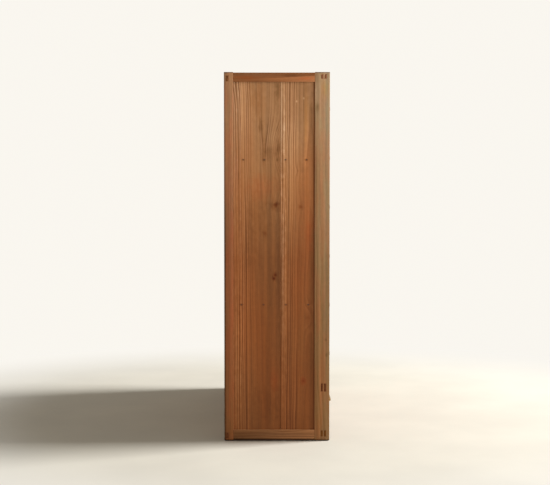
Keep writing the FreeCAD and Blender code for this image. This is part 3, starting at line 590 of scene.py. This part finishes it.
def dress(node, look, grain, width=0.7 * MM, **options):
    """Gives a CAD node wood of its own, and rounds its arrises with modifiers."""
    draw = random.Random(node)
    pith = (draw.uniform(-40, 40) * MM, draw.uniform(35, 90) * MM, draw.uniform(-3, 3))
    tree = material_tree(f"wood_{node}")
    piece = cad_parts[node]
    piece.data.materials.clear()
    piece.data.materials.append(wood(tree, look, cad_place(tree, node, grain, pith), **options))
    piece.modifiers.new("weld", "WELD").merge_threshold = 1e-5
    bevel = piece.modifiers.new("eased_arrises", "BEVEL")
    bevel.width = width
    bevel.segments = 2
    bevel.limit_method = "ANGLE"
    bevel.angle_limit = 0.6
    bevel.harden_normals = True
    piece.data.polygons.foreach_set("use_smooth", [True] * len(piece.data.polygons))


# ---- The left side of the photograph ----

# Tints at shares of the cabinet's height, darker towards the floor: partly the wood's age, partly painted
# shade.
BOARD_PATINA_AND_SHADE = ((0.0, (0.49, 0.37, 0.26)), (0.30, (0.57, 0.44, 0.32)), (0.50, (0.60, 0.47, 0.36)),
                (0.70, (0.88, 0.84, 0.78)), (0.86, (0.95, 1.03, 1.14)))
FRONT_POST_PATINA_AND_SHADE = ((0.0, (0.66, 0.57, 0.43)), (0.50, (0.76, 0.68, 0.56)), (0.88, (1.0, 1.0, 1.0)))
FRONT_PATINA_AND_SHADE = ((0.0, (0.66, 0.58, 0.50)), (0.40, (0.80, 0.73, 0.66)), (0.85, (1.0, 1.0, 1.0)))
REAR_POST_PATINA_AND_SHADE = ((0.0, (0.66, 0.50, 0.32)), (0.50, (0.68, 0.47, 0.36)), (0.88, (1.0, 1.0, 1.0)))
# The bottom rail's tints: the lowest stop is a painted contact shadow along its lower edge.
LOW_RAIL_PATINA_AND_SHADE = ((0.0040, (0.20, 0.20, 0.18)), (0.0056, (0.78, 0.88, 0.88)),
                   (0.0096, (0.74, 0.82, 0.80)), (0.0125, (0.66, 0.70, 0.66)))

# Knots: px, py, radius in mm, push of the rings in mm, darkness.
# Marks: px, py, half size across and along the board in mm, tint, strength.
REAR_BOARD_KNOTS = (
    (275.8, 204, 7, 9, 0.9), (275, 274, 3.8, 5, 1), (273.8, 277.5, 3, 3, 1), (264.7, 232.3, 4, 4, 0.35),
    (280, 147, 10, 28, 0.15), (234, 72, 12, -9, 0))
REAR_BOARD_MARKS = (
    (240.8, 310, 1.6, 200, BRIGHT, 1), (243.2, 300, 1.6, 170, BRIGHT, 1), (247, 330, 1.5, 130, PALER, 1),
    (257, 218, 24, 55, (0.88, 0.80, 0.70), 0.8), (260, 104, 14, 50, (0.95, 0.86, 0.76), 0.7),
    (236.3, 350, 5, 150, BRIGHT, 0.6), (245.5, 256, 7, 50, (0.85, 0.85, 0.82), 0.8),
    (254, 98, 16, 42, (0.93, 0.87, 0.78), 0.8), (271.5, 137, 13, 24, PALER, 1),
    (267, 152, 15, 12, DARKER, 0.85), (261, 125, 5, 20, DARKER, 0.9), (278, 148, 4, 26, DARKER, 0.8),
    (277.5, 90, 6, 26, DARKER, 0.9), (274, 203, 20, 5, DARKER, 0.5), (277.5, 159.2, 4, 3, DARKER, 0.8),
    (274.8, 380, 10, 24, REDDER, 0.5), (267, 250, 38, 2000, DARKER, 0.20),
    (264, 330, 40, 330, DARKER, 0.15), (268, 405, 50, 40, DARKER, 0.40), (262, 187, 30, 30, REDDER, 0.6),
    (279.5, 250, 6, 2000, DARKER, 0.45), (236.5, 172, 5, 45, (1.02, 1.04, 1.25), 0.8),
    (238.4, 176, 1.6, 24, DARKER, 0.9), (240.7, 150, 1.4, 130, BRIGHT, 0.9),
    (237.7, 98, 1.6, 60, BRIGHT, 0.9), (242, 110, 2.2, 90, PALER, 0.8), (252, 245, 10, 60, DARKER, 0.35),
    (237.6, 330, 1.8, 340, PALER, 1), (234.4, 250, 3, 2000, BRIGHT, 0.55),
    (238.5, 320, 11, 260, PALER, 0.5), (240.2, 380, 2.2, 180, PALER, 0.9),
    (239.3, 270, 1.5, 110, BRIGHT, 0.8), (244.5, 240, 1.5, 200, PALER, 0.7),
    (238.2, 124, 2.6, 80, BRIGHT, 0.7), (260, 112, 14, 100, (0.95, 0.93, 0.90), 0.9),
    (275.8, 95, 5, 45, DARKER, 0.35))
FRONT_BOARD_KNOTS = (
    (300.6, 206, 4.5, 5, 0.45), (303.5, 380.6, 4, 5, 0.35), (308, 317, 6, 9, 0.15),
    (297.5, 170, 2.5, 4, 0.15))
FRONT_BOARD_MARKS = (
    (282.6, 300, 1.7, 220, BRIGHT, 1), (285.2, 290, 1.6, 170, BRIGHT, 0.9),
    (289, 300, 1.5, 120, PALER, 1), (293, 142, 40, 60, PALER, 0.9),
    (309.5, 104, 8, 50, (0.84, 0.88, 0.88), 0.8), (296.5, 101, 1.9, 2.4, SPECK, 1),
    (303.5, 98, 1.9, 2.6, SPECK, 1), (281.8, 125, 6, 130, BRIGHT, 1), (284.5, 145, 3, 100, PALER, 1),
    (281.5, 230, 4.5, 150, BRIGHT, 0.8), (283.2, 265, 5, 260, BRIGHT, 0.8),
    (286, 290, 1.6, 200, PALER, 0.9), (284.5, 320, 11, 180, PALER, 0.5),
    (289.5, 160, 1.6, 130, PALER, 0.8), (306, 118, 6, 70, (0.96, 0.93, 0.76), 0.8),
    (301.3, 150, 10, 110, (1.09, 1.13, 1.16), 1), (308, 92, 12, 30, (0.90, 0.90, 0.92), 0.9),
    (303.5, 380.6, 7, 12, REDDER, 0.8), (309.5, 235, 9, 45, REDDER, 0.35),
    (306, 250, 24, 200, REDDER, 0.30), (305, 250, 26, 2000, DARKER, 0.15),
    (297, 425, 42, 30, DARKER, 0.3))
REAR_POST_MARKS = (
    (231, 345, 4, 10, REDDER, 1), (231.5, 356, 4, 9, REDDER, 1), (230, 105, 6, 40, REDDER, 0.5),
    (226.6, 437, 3, 4, SPECK, 0.5), (229, 170, 12, 110, (1, 1.15, 1.16), 0.9))
FRONT_POST_MARKS = (
    # The first mark is a painted highlight down the post's inner arris near its top.
    (315, 95, 2, 34, (1.35, 1.42, 1.5), 1), (317.2, 92, 5, 32, (1.10, 1.12, 1.24), 1),
    (317, 107, 5, 9, DARKER, 0.9), (325, 89, 8, 20, (1.04, 1, 0.72), 0.8), (326, 339, 3, 4, DARKER, 1),
    (326.6, 354, 3, 5, DARKER, 1), (317, 200, 6, 50, (1, 0.93, 0.86), 0.7),
    (327, 260, 6, 3000, (0.86, 1, 1.14), 0.8), (319, 420, 8, 30, (0.96, 0.9, 0.8), 0.7),
    (322.5, 104, 8, 50, (0.88, 0.95, 1), 0.8), (318, 142, 7, 55, (1.04, 1.12, 1.16), 0.8))
TOP_RAIL_MARKS = (
    (247, 77.5, 5, 30, (1.12, 0.84, 0.62), 0.9), (291, 75.5, 4, 16, DARKER, 0.9),
    (305, 78.5, 4, 16, REDDER, 0.8), (268, 78, 5, 24, (1.06, 1.04, 1), 0.8))
FINE_GRAIN = {"rear": (233, 250), "front": (280, 297)}  # px from and to: the years show as fine lines
CURLY_FIGURES = {"rear": ((270, 138, 22, 50),), "front": ()}  # px, py, half width and height in mm
PITHS = {"rear": (266, 26 * MM, 0.3), "front": (309, 24 * MM, 1.7)}  # px, depth in m, height in m
GROOVE_PX = 314.4  # where the boards pass into the groove of the front post
BOARD_CUP = 0.35 * MM


# ---- Side boards and their nails ----


def nail_places(side_y):
    """The nails through one side, as (y, z): a row of four at each batten."""
    places = []
    for level, (front_margin, rear_margin) in ((NAIL_LOW.z + NAIL_HEAD, LOWER_ROW_MARGINS),
                                               (NAIL_HIGH.z - NAIL_HEAD, UPPER_ROW_MARGINS)):
        front, rear = POST_HIGH.y + front_margin, REAR_LOW.y - rear_margin
        for number in range(NAILS_IN_ROW):
            places.append((front + (rear - front) * number / (NAILS_IN_ROW - 1), level))
    return [(y, level) for y, level in places if side_y[0] < y < side_y[1]]


def side_wood(name, part, y_range, knots, marks, photographed):
    """The wood of a side board. Only a photographed one gets the knots and marks."""
    middle_y, middle_z = sum(y_range) / 2, (SIDE_LOW.z + SIDE_HIGH.z) / 2
    centre = board_pixels(middle_y, middle_z)
    groove = centre(GROOVE_PX, 0)[0]
    fine = sorted(centre(px, 0)[0] for px in FINE_GRAIN[part])

    def finish(tree, colour, at):
        across, _, along = tree.split(at.place)
        if photographed:
            light = tree.band(across, *fine, 5 * MM) * 0.9
            colour = tree.tint(colour, (1.13, 1.15, 1.18), light)
            for px, py, radius, _, dark in knots:
                knot, size, heart = centre(px, py), radius * MM, radius * 0.9 * MM
                colour = tint_oval(tree, colour, at, knot, (size * 1.7, size * 2.0), (0.66, 0.52, 0.40),
                               dark * 0.8, 0.8)
                colour = tint_oval(tree, colour, at, knot, (heart, heart), (0.62, 0.37, 0.12), dark, 0.6)
            colour = add_marks(tree, colour, at, marks, centre)
        # Painted shadow along the groove of the front post, whose edge stands proud of the board; weaker
        # towards the floor.
        painted_shade = tree.between(abs(across - groove), 1.0 * MM, 5 * MM, 1.0, 0.0)
        painted_shade *= tree.between(along, -0.45, 0.40, 0.5, 1.0)
        colour = tree.tint(colour, (0.33, 0.20, 0.07), painted_shade)
        for y, z in nail_places(y_range):  # a halo of rust round each nail, and a short run below it
            nail, below = (y - middle_y, z - middle_z), (y - middle_y, z - middle_z - 5 * MM)
            colour = tint_oval(tree, colour, at, nail, (4.2 * MM, 2.8 * MM), (0.50, 0.42, 0.34), 0.8, 0.7)
            colour = tint_oval(tree, colour, at, below, (2.0 * MM, 7 * MM), (0.74, 0.66, 0.58), 0.3, 0.8)
        return patina_and_shade(tree, colour, BOARD_PATINA_AND_SHADE)

    def lines(tree, at):
        across, _, along = tree.split(at.place)
        share = tree.between(along, 0.1, 0.4, 0.30, 0.48) + tree.band(across, *fine, 8 * MM) * 1.15
        for px, py, wide, tall in CURLY_FIGURES[part]:
            share += spot(tree, at, centre(px, py), (wide * MM, tall * MM), 0.7)
        return share

    pushed = [(*centre(px, py), radius * MM, push) for px, py, radius, push, _ in knots if photographed]
    return attribute_wood(name, SIDE_RED, knots=pushed, finish=finish, lines=lines)


def build_side_boards():
    """Two boards on each side of the cabinet, in the grooves of its posts and rails."""
    boards = (
        ("rear", SIDE_JOINT_Y + BOARD_GAP / 2, SIDE_HIGH.y, 0.012, REAR_BOARD_KNOTS, REAR_BOARD_MARKS),
        ("front", SIDE_LOW.y, SIDE_JOINT_Y - BOARD_GAP / 2, -0.010, FRONT_BOARD_KNOTS, FRONT_BOARD_MARKS))
    for side, label in ((-1, "left"), (1, "right")):
        x_low, x_high = (SIDE_LOW.x, SIDE_HIGH.x) if side < 0 else (-SIDE_HIGH.x, -SIDE_LOW.x)
        for part, y_low, y_high, tilt, knots, marks in boards:
            material = side_wood(f"{label}_{part}_side_wood", part, (y_low, y_high), knots, marks, side < 0)
            px, depth, height = PITHS[part]
            pith = (from_photo(px, 0)[0] - (y_low + y_high) / 2, depth, height * side)
            piece = Carpentry(f"{label}_{part}_side_board").board(
                ((x_low, y_low, SIDE_LOW.z), (x_high, y_high, SIDE_HIGH.z)), grain="z", pith=pith,
                tilt=tilt, ease=0.8 * MM, steps=(9 * MM, 12 * MM, 24 * MM), wobble=0.25 * MM,
                cup=side * BOARD_CUP, tone=1.0)
            placed(piece.make(material), "cabinet", f"{label}_side_boards")


def build_nails(material):
    """Hand-made nails with low domed heads, each a little different."""
    draw = random.Random("side nails")
    skin = bmesh.new()
    dome, shank, length = 0.7 * MM, 0.9 * MM, 18 * MM
    for side in (-1, 1):
        for y, z in nail_places((SIDE_LOW.y, SIDE_HIGH.y)):
            radius = NAIL_HEAD * draw.uniform(0.86, 1.0)
            profile = [(0, -length), (shank * 0.5, -length * 0.9), (shank, -length * 0.6), (shank, 0),
                       (radius, 0), (radius, dome * 0.35), (radius * 0.72, dome * 0.8),
                       (radius * 0.35, dome * 0.96), (0, dome)]
            lean = Matrix.Rotation(draw.uniform(-0.08, 0.08), 4, "X")
            turn = Matrix.Rotation(side * math.pi / 2, 4, "Y")
            turned(skin, profile, Matrix.Translation((side * -SIDE_LOW.x, y, z)) @ turn @ lean, 14)
    placed(from_bmesh("side_nails", skin, material, 0.7), "cabinet", "side_board_nails")


# ---- Metal ----


def metal(name, base, tarnish, tarnish_share, metallic, depth):
    """Old metal: its base colour, tarnish or rust in patches, a little uneven all over."""
    tree = material_tree(name)
    blotch = tree.noise(tree.coordinates(), 90, 4.0)
    fine = tree.noise(tree.coordinates(), 700, 3.0)
    colour = tree.mix(tree.between(blotch, 0.36, 0.66) * tarnish_share, base, tarnish)
    tree.fill(tree.shader, Base_Color=tree.times(colour, tree.between(fine, 0.2, 0.8, 0.8, 1.25)),
              Metallic=metallic, Roughness=tree.between(blotch, 0.35, 0.7, 0.42, 0.76))
    tree.bump(blotch + fine * 0.35, depth)
    return tree.owner


# Colour, tarnish, share of tarnish, metallic share and depth of the unevenness.
RUSTY_IRON = ((0.030, 0.026, 0.024), (0.115, 0.045, 0.020), 0.9, 0.65, 0.25 * MM)
AGED_BRASS = ((0.33, 0.215, 0.095), (0.19, 0.115, 0.050), 0.8, 0.85, 0.05 * MM)


# ---- Drawers ----


def frame_finish(tree, colour, at):
    """The front darkens towards the floor, a little less than the sides: partly age, partly painted shade.
    """
    return patina_and_shade(tree, colour, FRONT_PATINA_AND_SHADE)


def front_finish(tree, colour, at):
    """Hand dirt round the pull and along the lower edge of a drawer front, then the frame's darkening
    towards the floor.
    """
    colour = tint_oval(tree, colour, at, (0, 0), (24 * MM, 30 * MM), (0.62, 0.56, 0.52), 0.7, 0.8)
    above_edge = tree.split(at.place)[0] + tree.split(at.half)[0]
    colour = tree.tint(colour, 0.6, tree.between(above_edge, 0.0, 14 * MM, 0.30, 0.0))
    return frame_finish(tree, colour, at)


def knob_wood():
    """Dark turned wood, in the frame's own coordinates."""
    tree = material_tree("knob_wood")
    place = tree.coordinates()
    return wood(tree, KNOB_DARK, Place(tree, place, (1, 1, 1), place, 0.0), gloss=0.42)


def drawer_parts(name, low, high, face):
    """A drawer's front and its tray. low and high are its corners, and face the y of the front."""
    front_back = face + DRAWER_FRONT
    side_front = front_back - DRAWER_LAP
    inner_low, inner_high = low.x + DRAWER_SIDE, high.x - DRAWER_SIDE
    side_top = high.z - SIDE_DROP
    front = Carpentry(f"{name}_front").board(
        ((low.x, face, low.z), (high.x, side_front, high.z)),
        ((inner_low, side_front, low.z), (inner_high, front_back, high.z)),
        ((low.x, side_front, side_top), (high.x, front_back, high.z)),
        grain="x", ease=1.0 * MM, wobble=0.2 * MM)
    tray = Carpentry(f"{name}_tray")
    for x_low, x_high in ((low.x, inner_low), (inner_high, high.x)):
        tray.board(((x_low, side_front, low.z), (x_high, high.y, side_top)), grain="y")
    tray.board(((inner_low, high.y - DRAWER_BACK, low.z + DRAWER_BOTTOM),
                (inner_high, high.y, side_top - BACK_DROP)), grain="x")
    tray.board(((inner_low, front_back, low.z), (inner_high, high.y, low.z + DRAWER_BOTTOM)),
               grain="x", ease=0.3 * MM)
    return front, tray


def build_knob(name, x, face, z, material):
    """A turned knob: spindle, collar, hollow neck, thick rim and a low crown, its axis along Y."""
    draw = random.Random(name)
    rim = 9.5 * draw.uniform(0.97, 1.0)
    corners = [(6.5, 0.0), (6.5, 1.1), (5.2, 2.2), (4.9, 3.6), (6.6, 5.2), (rim, 6.4), (rim, 9.0),
               (8.2, 10.9), (5.0, 11.8), (0.0, 12.0)]
    root = -DRAWER_FRONT - PAST_THE_FRONT
    profile = [(0, root), (SPINDLE_RADIUS, root), (SPINDLE_RADIUS, 0)]
    profile += rounded([(radius * MM, height * MM) for radius, height in corners])
    place = Matrix.Translation((x, face, z)) @ Matrix.Rotation(math.pi / 2, 4, "X")
    skin = bmesh.new()
    turned(skin, profile, place @ Matrix.Rotation(draw.uniform(0, 6.28), 4, "Z"), 36)
    return from_bmesh(name, skin, material)


def build_drawers(front_wood, tray_wood, turned_wood, brass):
    """Twenty-four seed drawers with knobs and two wide ones with cup pulls, each a body of its own."""
    seed_drawers = sorted(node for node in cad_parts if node.startswith("seed_drawer_row"))
    for node in (*seed_drawers, "wide_drawer_left", "wide_drawer_right"):
        low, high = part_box(node)
        face = low.y + KNOB_PROJECTION if node in seed_drawers else low.y
        front, tray = drawer_parts(node, low, high, face)
        for piece in (front.make(front_wood), tray.make(tray_wood)):
            placed(piece, node, node)
        if node in seed_drawers:  # the knob sits in the middle of the drawer's cell
            level = (low.z - DRAWER_GAP_BELOW + high.z + DRAWER_GAP_ABOVE) / 2
            knob = build_knob(f"{node}_knob", (low.x + high.x) / 2, face, level, turned_wood)
            placed(knob, node, node)
        else:
            pull = node.replace("wide_drawer", "cup_pull")
            for piece in cup_pieces(pull, face, brass):
                placed(piece, node, pull)


def cup_rays(middle_x, face):
    """Level rays from a cup's spine, from one end round to the other: (start, direction)."""
    turns, runs = 10, 8
    straight = CUP_HALF_LENGTH - CUP_RADIUS
    angles = [math.pi / 2 * number / turns for number in range(turns + 1)]
    rays = [(-straight, math.pi + angle) for angle in angles]
    rays += [(-straight + 2 * straight * number / runs, 1.5 * math.pi) for number in range(1, runs)]
    rays += [(straight, 1.5 * math.pi + angle) for angle in angles]
    return [(Vector((middle_x + x, face, 0)), Vector((math.cos(angle), math.sin(angle), 0)))
            for x, angle in rays]


def arc_rows(skin, rays, reach, level, radius, angles):
    """A row of vertices for each ray, on an arc round the point at its reach and a level."""
    return [[skin.verts.new(start + direction * (reach + radius * math.cos(angle))
                            + Vector((0, 0, level + radius * math.sin(angle)))) for angle in angles]
            for start, direction in rays]


def cup_pieces(name, face, brass):
    """A cup pull: a raised shell with a rolled lip, its plate and two domed rivets."""
    low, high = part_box(name)
    middle_x, level = (low.x + high.x) / 2, low.z
    rays = cup_rays(middle_x, face)
    skin = bmesh.new()
    rise = [math.pi / 2 * number / 9 for number in range(10)]
    outer = arc_rows(skin, rays, 0, level, CUP_RADIUS, rise)
    inner = arc_rows(skin, rays, 0, level, CUP_RADIUS - CUP_WALL, rise)
    for grid in (outer, inner):
        for first, second in zip(grid, grid[1:]):
            stitch(skin, first, second)
    for edge in (0, -1):
        stitch(skin, [row[edge] for row in outer], [row[edge] for row in inner])
        stitch(skin, outer[edge], inner[edge])
    bmesh.ops.remove_doubles(skin, verts=skin.verts, dist=1e-6)
    circle = [2 * math.pi * number / 10 for number in range(10)]
    rings = arc_rows(skin, rays, CUP_RADIUS - CUP_LIP_RADIUS, level + CUP_LIP_RADIUS, CUP_LIP_RADIUS, circle)
    for first, second in zip(rings, rings[1:]):
        stitch(skin, first + first[:1], second + second[:1])
    skin.faces.new(rings[0])
    skin.faces.new(rings[-1])
    shell = from_bmesh(f"{name}_shell", skin, brass)

    boxes = [((middle_x - half, face - CUP_PLATE, level), (middle_x + half, face, top)) for half, top in (
        (CUP_HALF_LENGTH + CUP_PLATE_OVERHANG, level + CUP_PLATE_OVERHANG), (CUP_HALF_LENGTH, high.z))]
    plate = Carpentry(f"{name}_plate").board(*boxes, grain="x", ease=0.7 * MM, wobble=0.1 * MM,
                                             steps=(8 * MM, 2 * MM, 6 * MM)).make(brass)

    rivets = bmesh.new()
    root = -DRAWER_FRONT - CUP_PLATE - PAST_THE_FRONT
    dome = [(3.25, 0.0), (3.25, 0.35), (2.7, 0.9), (1.6, 1.3), (0.0, 1.4)]
    profile = [(0, root), (RIVET_RADIUS, root), (RIVET_RADIUS, 0)]
    profile += [(radius * MM, height * MM) for radius, height in dome]
    for sign in (-1, 1):
        x = middle_x + sign * (CUP_HALF_LENGTH + CUP_PLATE_OVERHANG / 2)
        place = Matrix.Translation((x, face - CUP_PLATE, level + CUP_PLATE_OVERHANG / 2))
        turned(rivets, profile, place @ Matrix.Rotation(math.pi / 2, 4, "X"), 20)
    return shell, plate, from_bmesh(f"{name}_rivets", rivets, brass)


# ---- Top and back boards ----


def build_top_boards(material):
    """Two wide boards on the rebates of the top rails."""
    low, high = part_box("top_boards")
    for label, y_low, y_high in (("front", low.y, TOP_JOINT_Y - BOARD_GAP / 2),
                                 ("rear", TOP_JOINT_Y + BOARD_GAP / 2, high.y)):
        piece = Carpentry(f"{label}_top_board").board(
            ((low.x, y_low, low.z), (high.x, y_high, high.z)), grain="x", ease=0.8 * MM,
            wobble=0.3 * MM, steps=(30 * MM, 15 * MM, 12 * MM))
        placed(piece.make(material), "cabinet", "top_boards")


def build_back_boards(material):
    """Six upright boards in the grooves of the rear posts."""
    low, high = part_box("back_boards")
    pitch = (high.x - low.x + BOARD_GAP) / BACK_BOARDS
    for number in range(BACK_BOARDS):
        x_low = low.x + pitch * number
        piece = Carpentry(f"back_board_{number + 1}").board(
            ((x_low, low.y, low.z), (x_low + pitch - BOARD_GAP, high.y, high.z)), grain="z",
            ease=0.8 * MM, wobble=0.3 * MM, steps=(18 * MM, 8 * MM, 40 * MM))
        placed(piece.make(material), "cabinet", "back_boards")


# ---- Posts and rails ----


def post_finish(tints, outer_y, middle_y, arris_shade_share, arris_shade_below, marks):
    """A post's colour: greyer and redder by turns, darker along its top, with painted shade down its outer
    arris and a painted contact shadow at the floor.

    outer_y is its outer face and middle_y its middle. The painted arris shade is strongest,
    arris_shade_share, below the share arris_shade_below of the height.
    """
    def finish(tree, colour, at):
        x, y, z = tree.split(tree.coordinates())
        turn = tree.noise(tree.coordinates(), (22, 60, 9))
        colour = tree.mix(tree.between(turn, 0.40, 0.62), tree.times(colour, (0.97, 1.03, 1.02)),
                          tree.times(colour, (1.06, 0.95, 0.92)))
        # Painted shade down the outer arris, stronger low on the post.
        from_arris = tree.math("MAXIMUM", FRAME_HIGH.x - abs(x), abs(y - outer_y))
        shade_strength = tree.between(z / FRAME_HIGH.z, arris_shade_below - 0.12, arris_shade_below + 0.12, arris_shade_share,
                             arris_shade_share * 0.4)
        painted_shade = tree.between(from_arris, 2.5 * MM, 8 * MM, 1.0, 0.0) * shade_strength
        # A painted contact shadow where the post meets the floor, and a darker top.
        foot_shadow = tree.between(z, 1 * MM, 8 * MM, 0.9, 0.0)
        top = tree.between(z, FRAME_HIGH.z - 4 * MM, FRAME_HIGH.z - 1 * MM, 0.0, 0.8)
        for tint, share in (((0.34, 0.35, 0.30), painted_shade), (0.35, foot_shadow), ((0.42, 0.40, 0.46), top)):
            colour = tree.tint(colour, tint, share)
        colour = add_marks(tree, colour, at, marks, board_pixels(middle_y, FRAME_MIDDLE.z))
        return patina_and_shade(tree, colour, tints)
    return finish


def bottom_rail_finish(tree, colour, at):
    """A bottom rail: a painted highlight along its upper arris, darker tints down its face and a painted
    contact shadow along its lower edge.
    """
    z = tree.split(tree.coordinates())[2]
    # A painted highlight along the rail's upper arris.
    arris_highlight = tree.between(z, BOTTOM_RAIL_TOP - 3.5 * MM, BOTTOM_RAIL_TOP - 0.5 * MM)
    return patina_and_shade(tree, tree.tint(colour, (1.5, 1.65, 1.9), arris_highlight), LOW_RAIL_PATINA_AND_SHADE)


def top_rail_finish(tree, colour, at):
    """Red and dark blotches on a top rail."""
    middle = sum(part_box("left_top_rail"), Vector()) / 2
    return add_marks(tree, colour, at, TOP_RAIL_MARKS, board_pixels(middle.y, middle.z, lying=True))


# End grain of the through tenons: the upper pair has kept its red.
END_TINTS = {"front_top_rail": (0.68, 0.65, 0.80), "rear_top_rail": (0.53, 0.50, 0.36),
             "front_bottom_rail": (0.66, 0.64, 0.18)}


def dress_frame():
    """Wood for every board and stick that keeps its CAD shape."""
    for side, front_marks, rear_marks in (("left", FRONT_POST_MARKS, REAR_POST_MARKS), ("right", (), ())):
        front = post_finish(FRONT_POST_PATINA_AND_SHADE, FRAME_LOW.y, (POST_LOW.y + POST_HIGH.y) / 2, 0.3, 0.45,
                            front_marks)
        rear = post_finish(REAR_POST_PATINA_AND_SHADE, FRAME_HIGH.y, (REAR_LOW.y + REAR_HIGH.y) / 2, 1.0, 0.62,
                           rear_marks)
        dress(f"front_{side}_post", POST_GREY, "z", 0.9 * MM, finish=front, arris=1.0)
        dress(f"rear_{side}_post", POST_RED, "z", 0.9 * MM, finish=rear, arris=1.0)
        dress(f"{side}_top_rail", RAIL_RED, "y", finish=top_rail_finish)
        dress(f"{side}_bottom_rail", RAIL_RED, "y", finish=bottom_rail_finish)
    for node in ("left_lining_board", "right_lining_board", "left_divider", "centre_divider",
                 "right_divider", "wide_drawer_divider"):
        dress(node, FRONT_RED, "z", 0.5 * MM, finish=frame_finish)
    for node in ("middle_shelf", *(f"seed_shelf_{number}" for number in range(1, 6))):
        dress(node, FRONT_RED, "x", 0.5 * MM, finish=frame_finish)
    for node in ("front_top_rail", "front_middle_rail", "front_bottom_rail", "rear_top_rail",
                 "rear_bottom_rail"):
        end_tint = END_TINTS.get(node, (0.55, 0.50, 0.42))
        dress(node, RAIL_RED, "x", end_tint=end_tint, finish=frame_finish)
    dress("bottom_boards", BARE, "x", 0.5 * MM)
    dress("side_battens", BARE, "y", 0.5 * MM)


# ---- Stage ----

WALL_COLOUR = (0.955, 0.925, 0.865)
FLOOR_COLOUR = (0.70, 0.65, 0.54)
WORLD_LIGHT, WORLD_STRENGTH = (1.0, 0.95, 0.86), 0.26
FLOOR_REACH = 14.0
FADE_FROM, FADE_TO = 0.75, 1.7  # m from the middle, where the floor passes into the surround

# Name, place, target, size, power, colour and link to the floor. Three light all but the floor; the
# fourth, further away, lights it alone for the photograph's long soft shadow.
LAMPS = (
    ("key", (-0.98, -2.35, 1.8), (-0.3, 0.0, 0.65), (1.1, 1.5), 98, (1.0, 0.97, 0.92), "EXCLUDE"),
    ("fill", (-4.6, 0.9, 1.9), (-0.45, 0.0, 0.75), (2.4, 2.0), 63, (1.0, 0.98, 0.95), "EXCLUDE"),
    ("right_fill", (3.3, -2.6, 1.8), (0.45, 0.0, 0.55), (1.6, 1.6), 22, (1.0, 0.98, 0.95), "EXCLUDE"),
    ("floor_key", (0.9, -6.6, 4.0), (0.0, 0.0, 0.0), (2.6, 2.2), 1100, (1.0, 1.03, 1.08), "INCLUDE"))


def build_camera():
    """The photograph's view: the left side, square on, from a little above its middle."""
    data = bpy.data.cameras.new("camera")
    data.sensor_fit = "HORIZONTAL"
    data.sensor_width = 36.0
    data.lens = FOCAL_PIXELS * data.sensor_width / PHOTO_WIDTH
    data.clip_end = 200
    camera = in_scene("camera", data)
    camera.location = (FRAME_LOW.x - CAMERA_DISTANCE, from_photo(PHOTO_WIDTH / 2, 0)[0], EYE_HEIGHT)
    camera.rotation_euler = (math.pi / 2 - CAMERA_PITCH, 0, -math.pi / 2)
    bpy.context.scene.camera = camera


def build_lamp(floor, name, place, target, size, power, colour, link):
    """A large soft lamp aimed at a point, linked to the floor alone or to all but the floor."""
    data = bpy.data.lights.new(name, "AREA")
    data.shape = "RECTANGLE"
    data.size, data.size_y = size
    data.energy = power
    data.color = colour
    lamp = in_scene(name, data)
    lamp.location = place
    lamp.rotation_euler = (Vector(target) - Vector(place)).to_track_quat("-Z", "Y").to_euler()
    listed = bpy.data.collections.new(f"{name}_receivers")
    listed.objects.link(floor)
    listed.collection_objects[0].light_linking.link_state = link
    lamp.light_linking.receiver_collection = listed


def seen_share(tree):
    """1 where the background itself is seen, straight or mirrored, and 0 where it only lights."""
    rays = tree.node("LightPath").outputs
    seen = tree.math("MAXIMUM", rays["Is Camera Ray"], rays["Is Glossy Ray"])
    return tree.math("MAXIMUM", seen, rays["Is Transmission Ray"])


def build_world():
    """An even pale surround: what the camera sees is the wall's colour, the light is softer."""
    tree = Tree(bpy.data.worlds.new("surround"))
    bpy.context.scene.world = tree.owner
    tree.nodes.clear()
    light = tree.fed(tree.node("Background"), (WORLD_LIGHT, WORLD_STRENGTH))
    seen = tree.fed(tree.node("Background"), (WALL_COLOUR, 1.0))
    mixed = tree.fed(tree.node("MixShader"), (seen_share(tree), light, seen))
    tree.fill(tree.node("OutputWorld"), Surface=mixed)


def build_floor():
    """A plain pale floor that passes into the surround at a distance."""
    mesh = bpy.data.meshes.new("floor")
    corners = [(x * FLOOR_REACH, y * FLOOR_REACH, 0) for x, y in ((-1, -1), (1, -1), (1, 1), (-1, 1))]
    mesh.from_pydata(corners, [], [(0, 1, 2, 3)])
    tree = material_tree("floor")
    mottle = tree.noise(tree.coordinates(), 3, 5.0)
    colour = tree.times(FLOOR_COLOUR, tree.between(mottle, 0.3, 0.7, 0.96, 1.04))
    tree.fill(tree.shader, Base_Color=colour, Roughness=0.8)
    far = tree.between(tree.vector("LENGTH", tree.coordinates()), FADE_FROM, FADE_TO)
    glow = tree.fed(tree.node("Emission"), (WALL_COLOUR,))
    mixed = tree.fed(tree.node("MixShader"), (far * seen_share(tree), tree.shader.outputs[0], glow))
    tree.fill(tree.nodes["Material Output"], Surface=mixed)
    mesh.materials.append(tree.owner)
    floor = in_scene("floor", mesh)
    return floor


# ---- The cabinet ----

bpy.context.scene.view_settings.view_transform = "Standard"
build_camera()
build_world()
floor = build_floor()
for lamp in LAMPS:
    build_lamp(floor, *lamp)
dress_frame()
build_side_boards()
build_nails(metal("nail_iron", *RUSTY_IRON))
build_top_boards(attribute_wood("top_board_wood", RAIL_RED))
build_back_boards(attribute_wood("back_board_wood", BARE, arris=0.45))
front_wood = attribute_wood("drawer_front_wood", FRONT_RED, finish=front_finish)
tray_wood = attribute_wood("drawer_tray_wood", BARE)
build_drawers(front_wood, tray_wood, knob_wood(), metal("aged_brass", *AGED_BRASS))
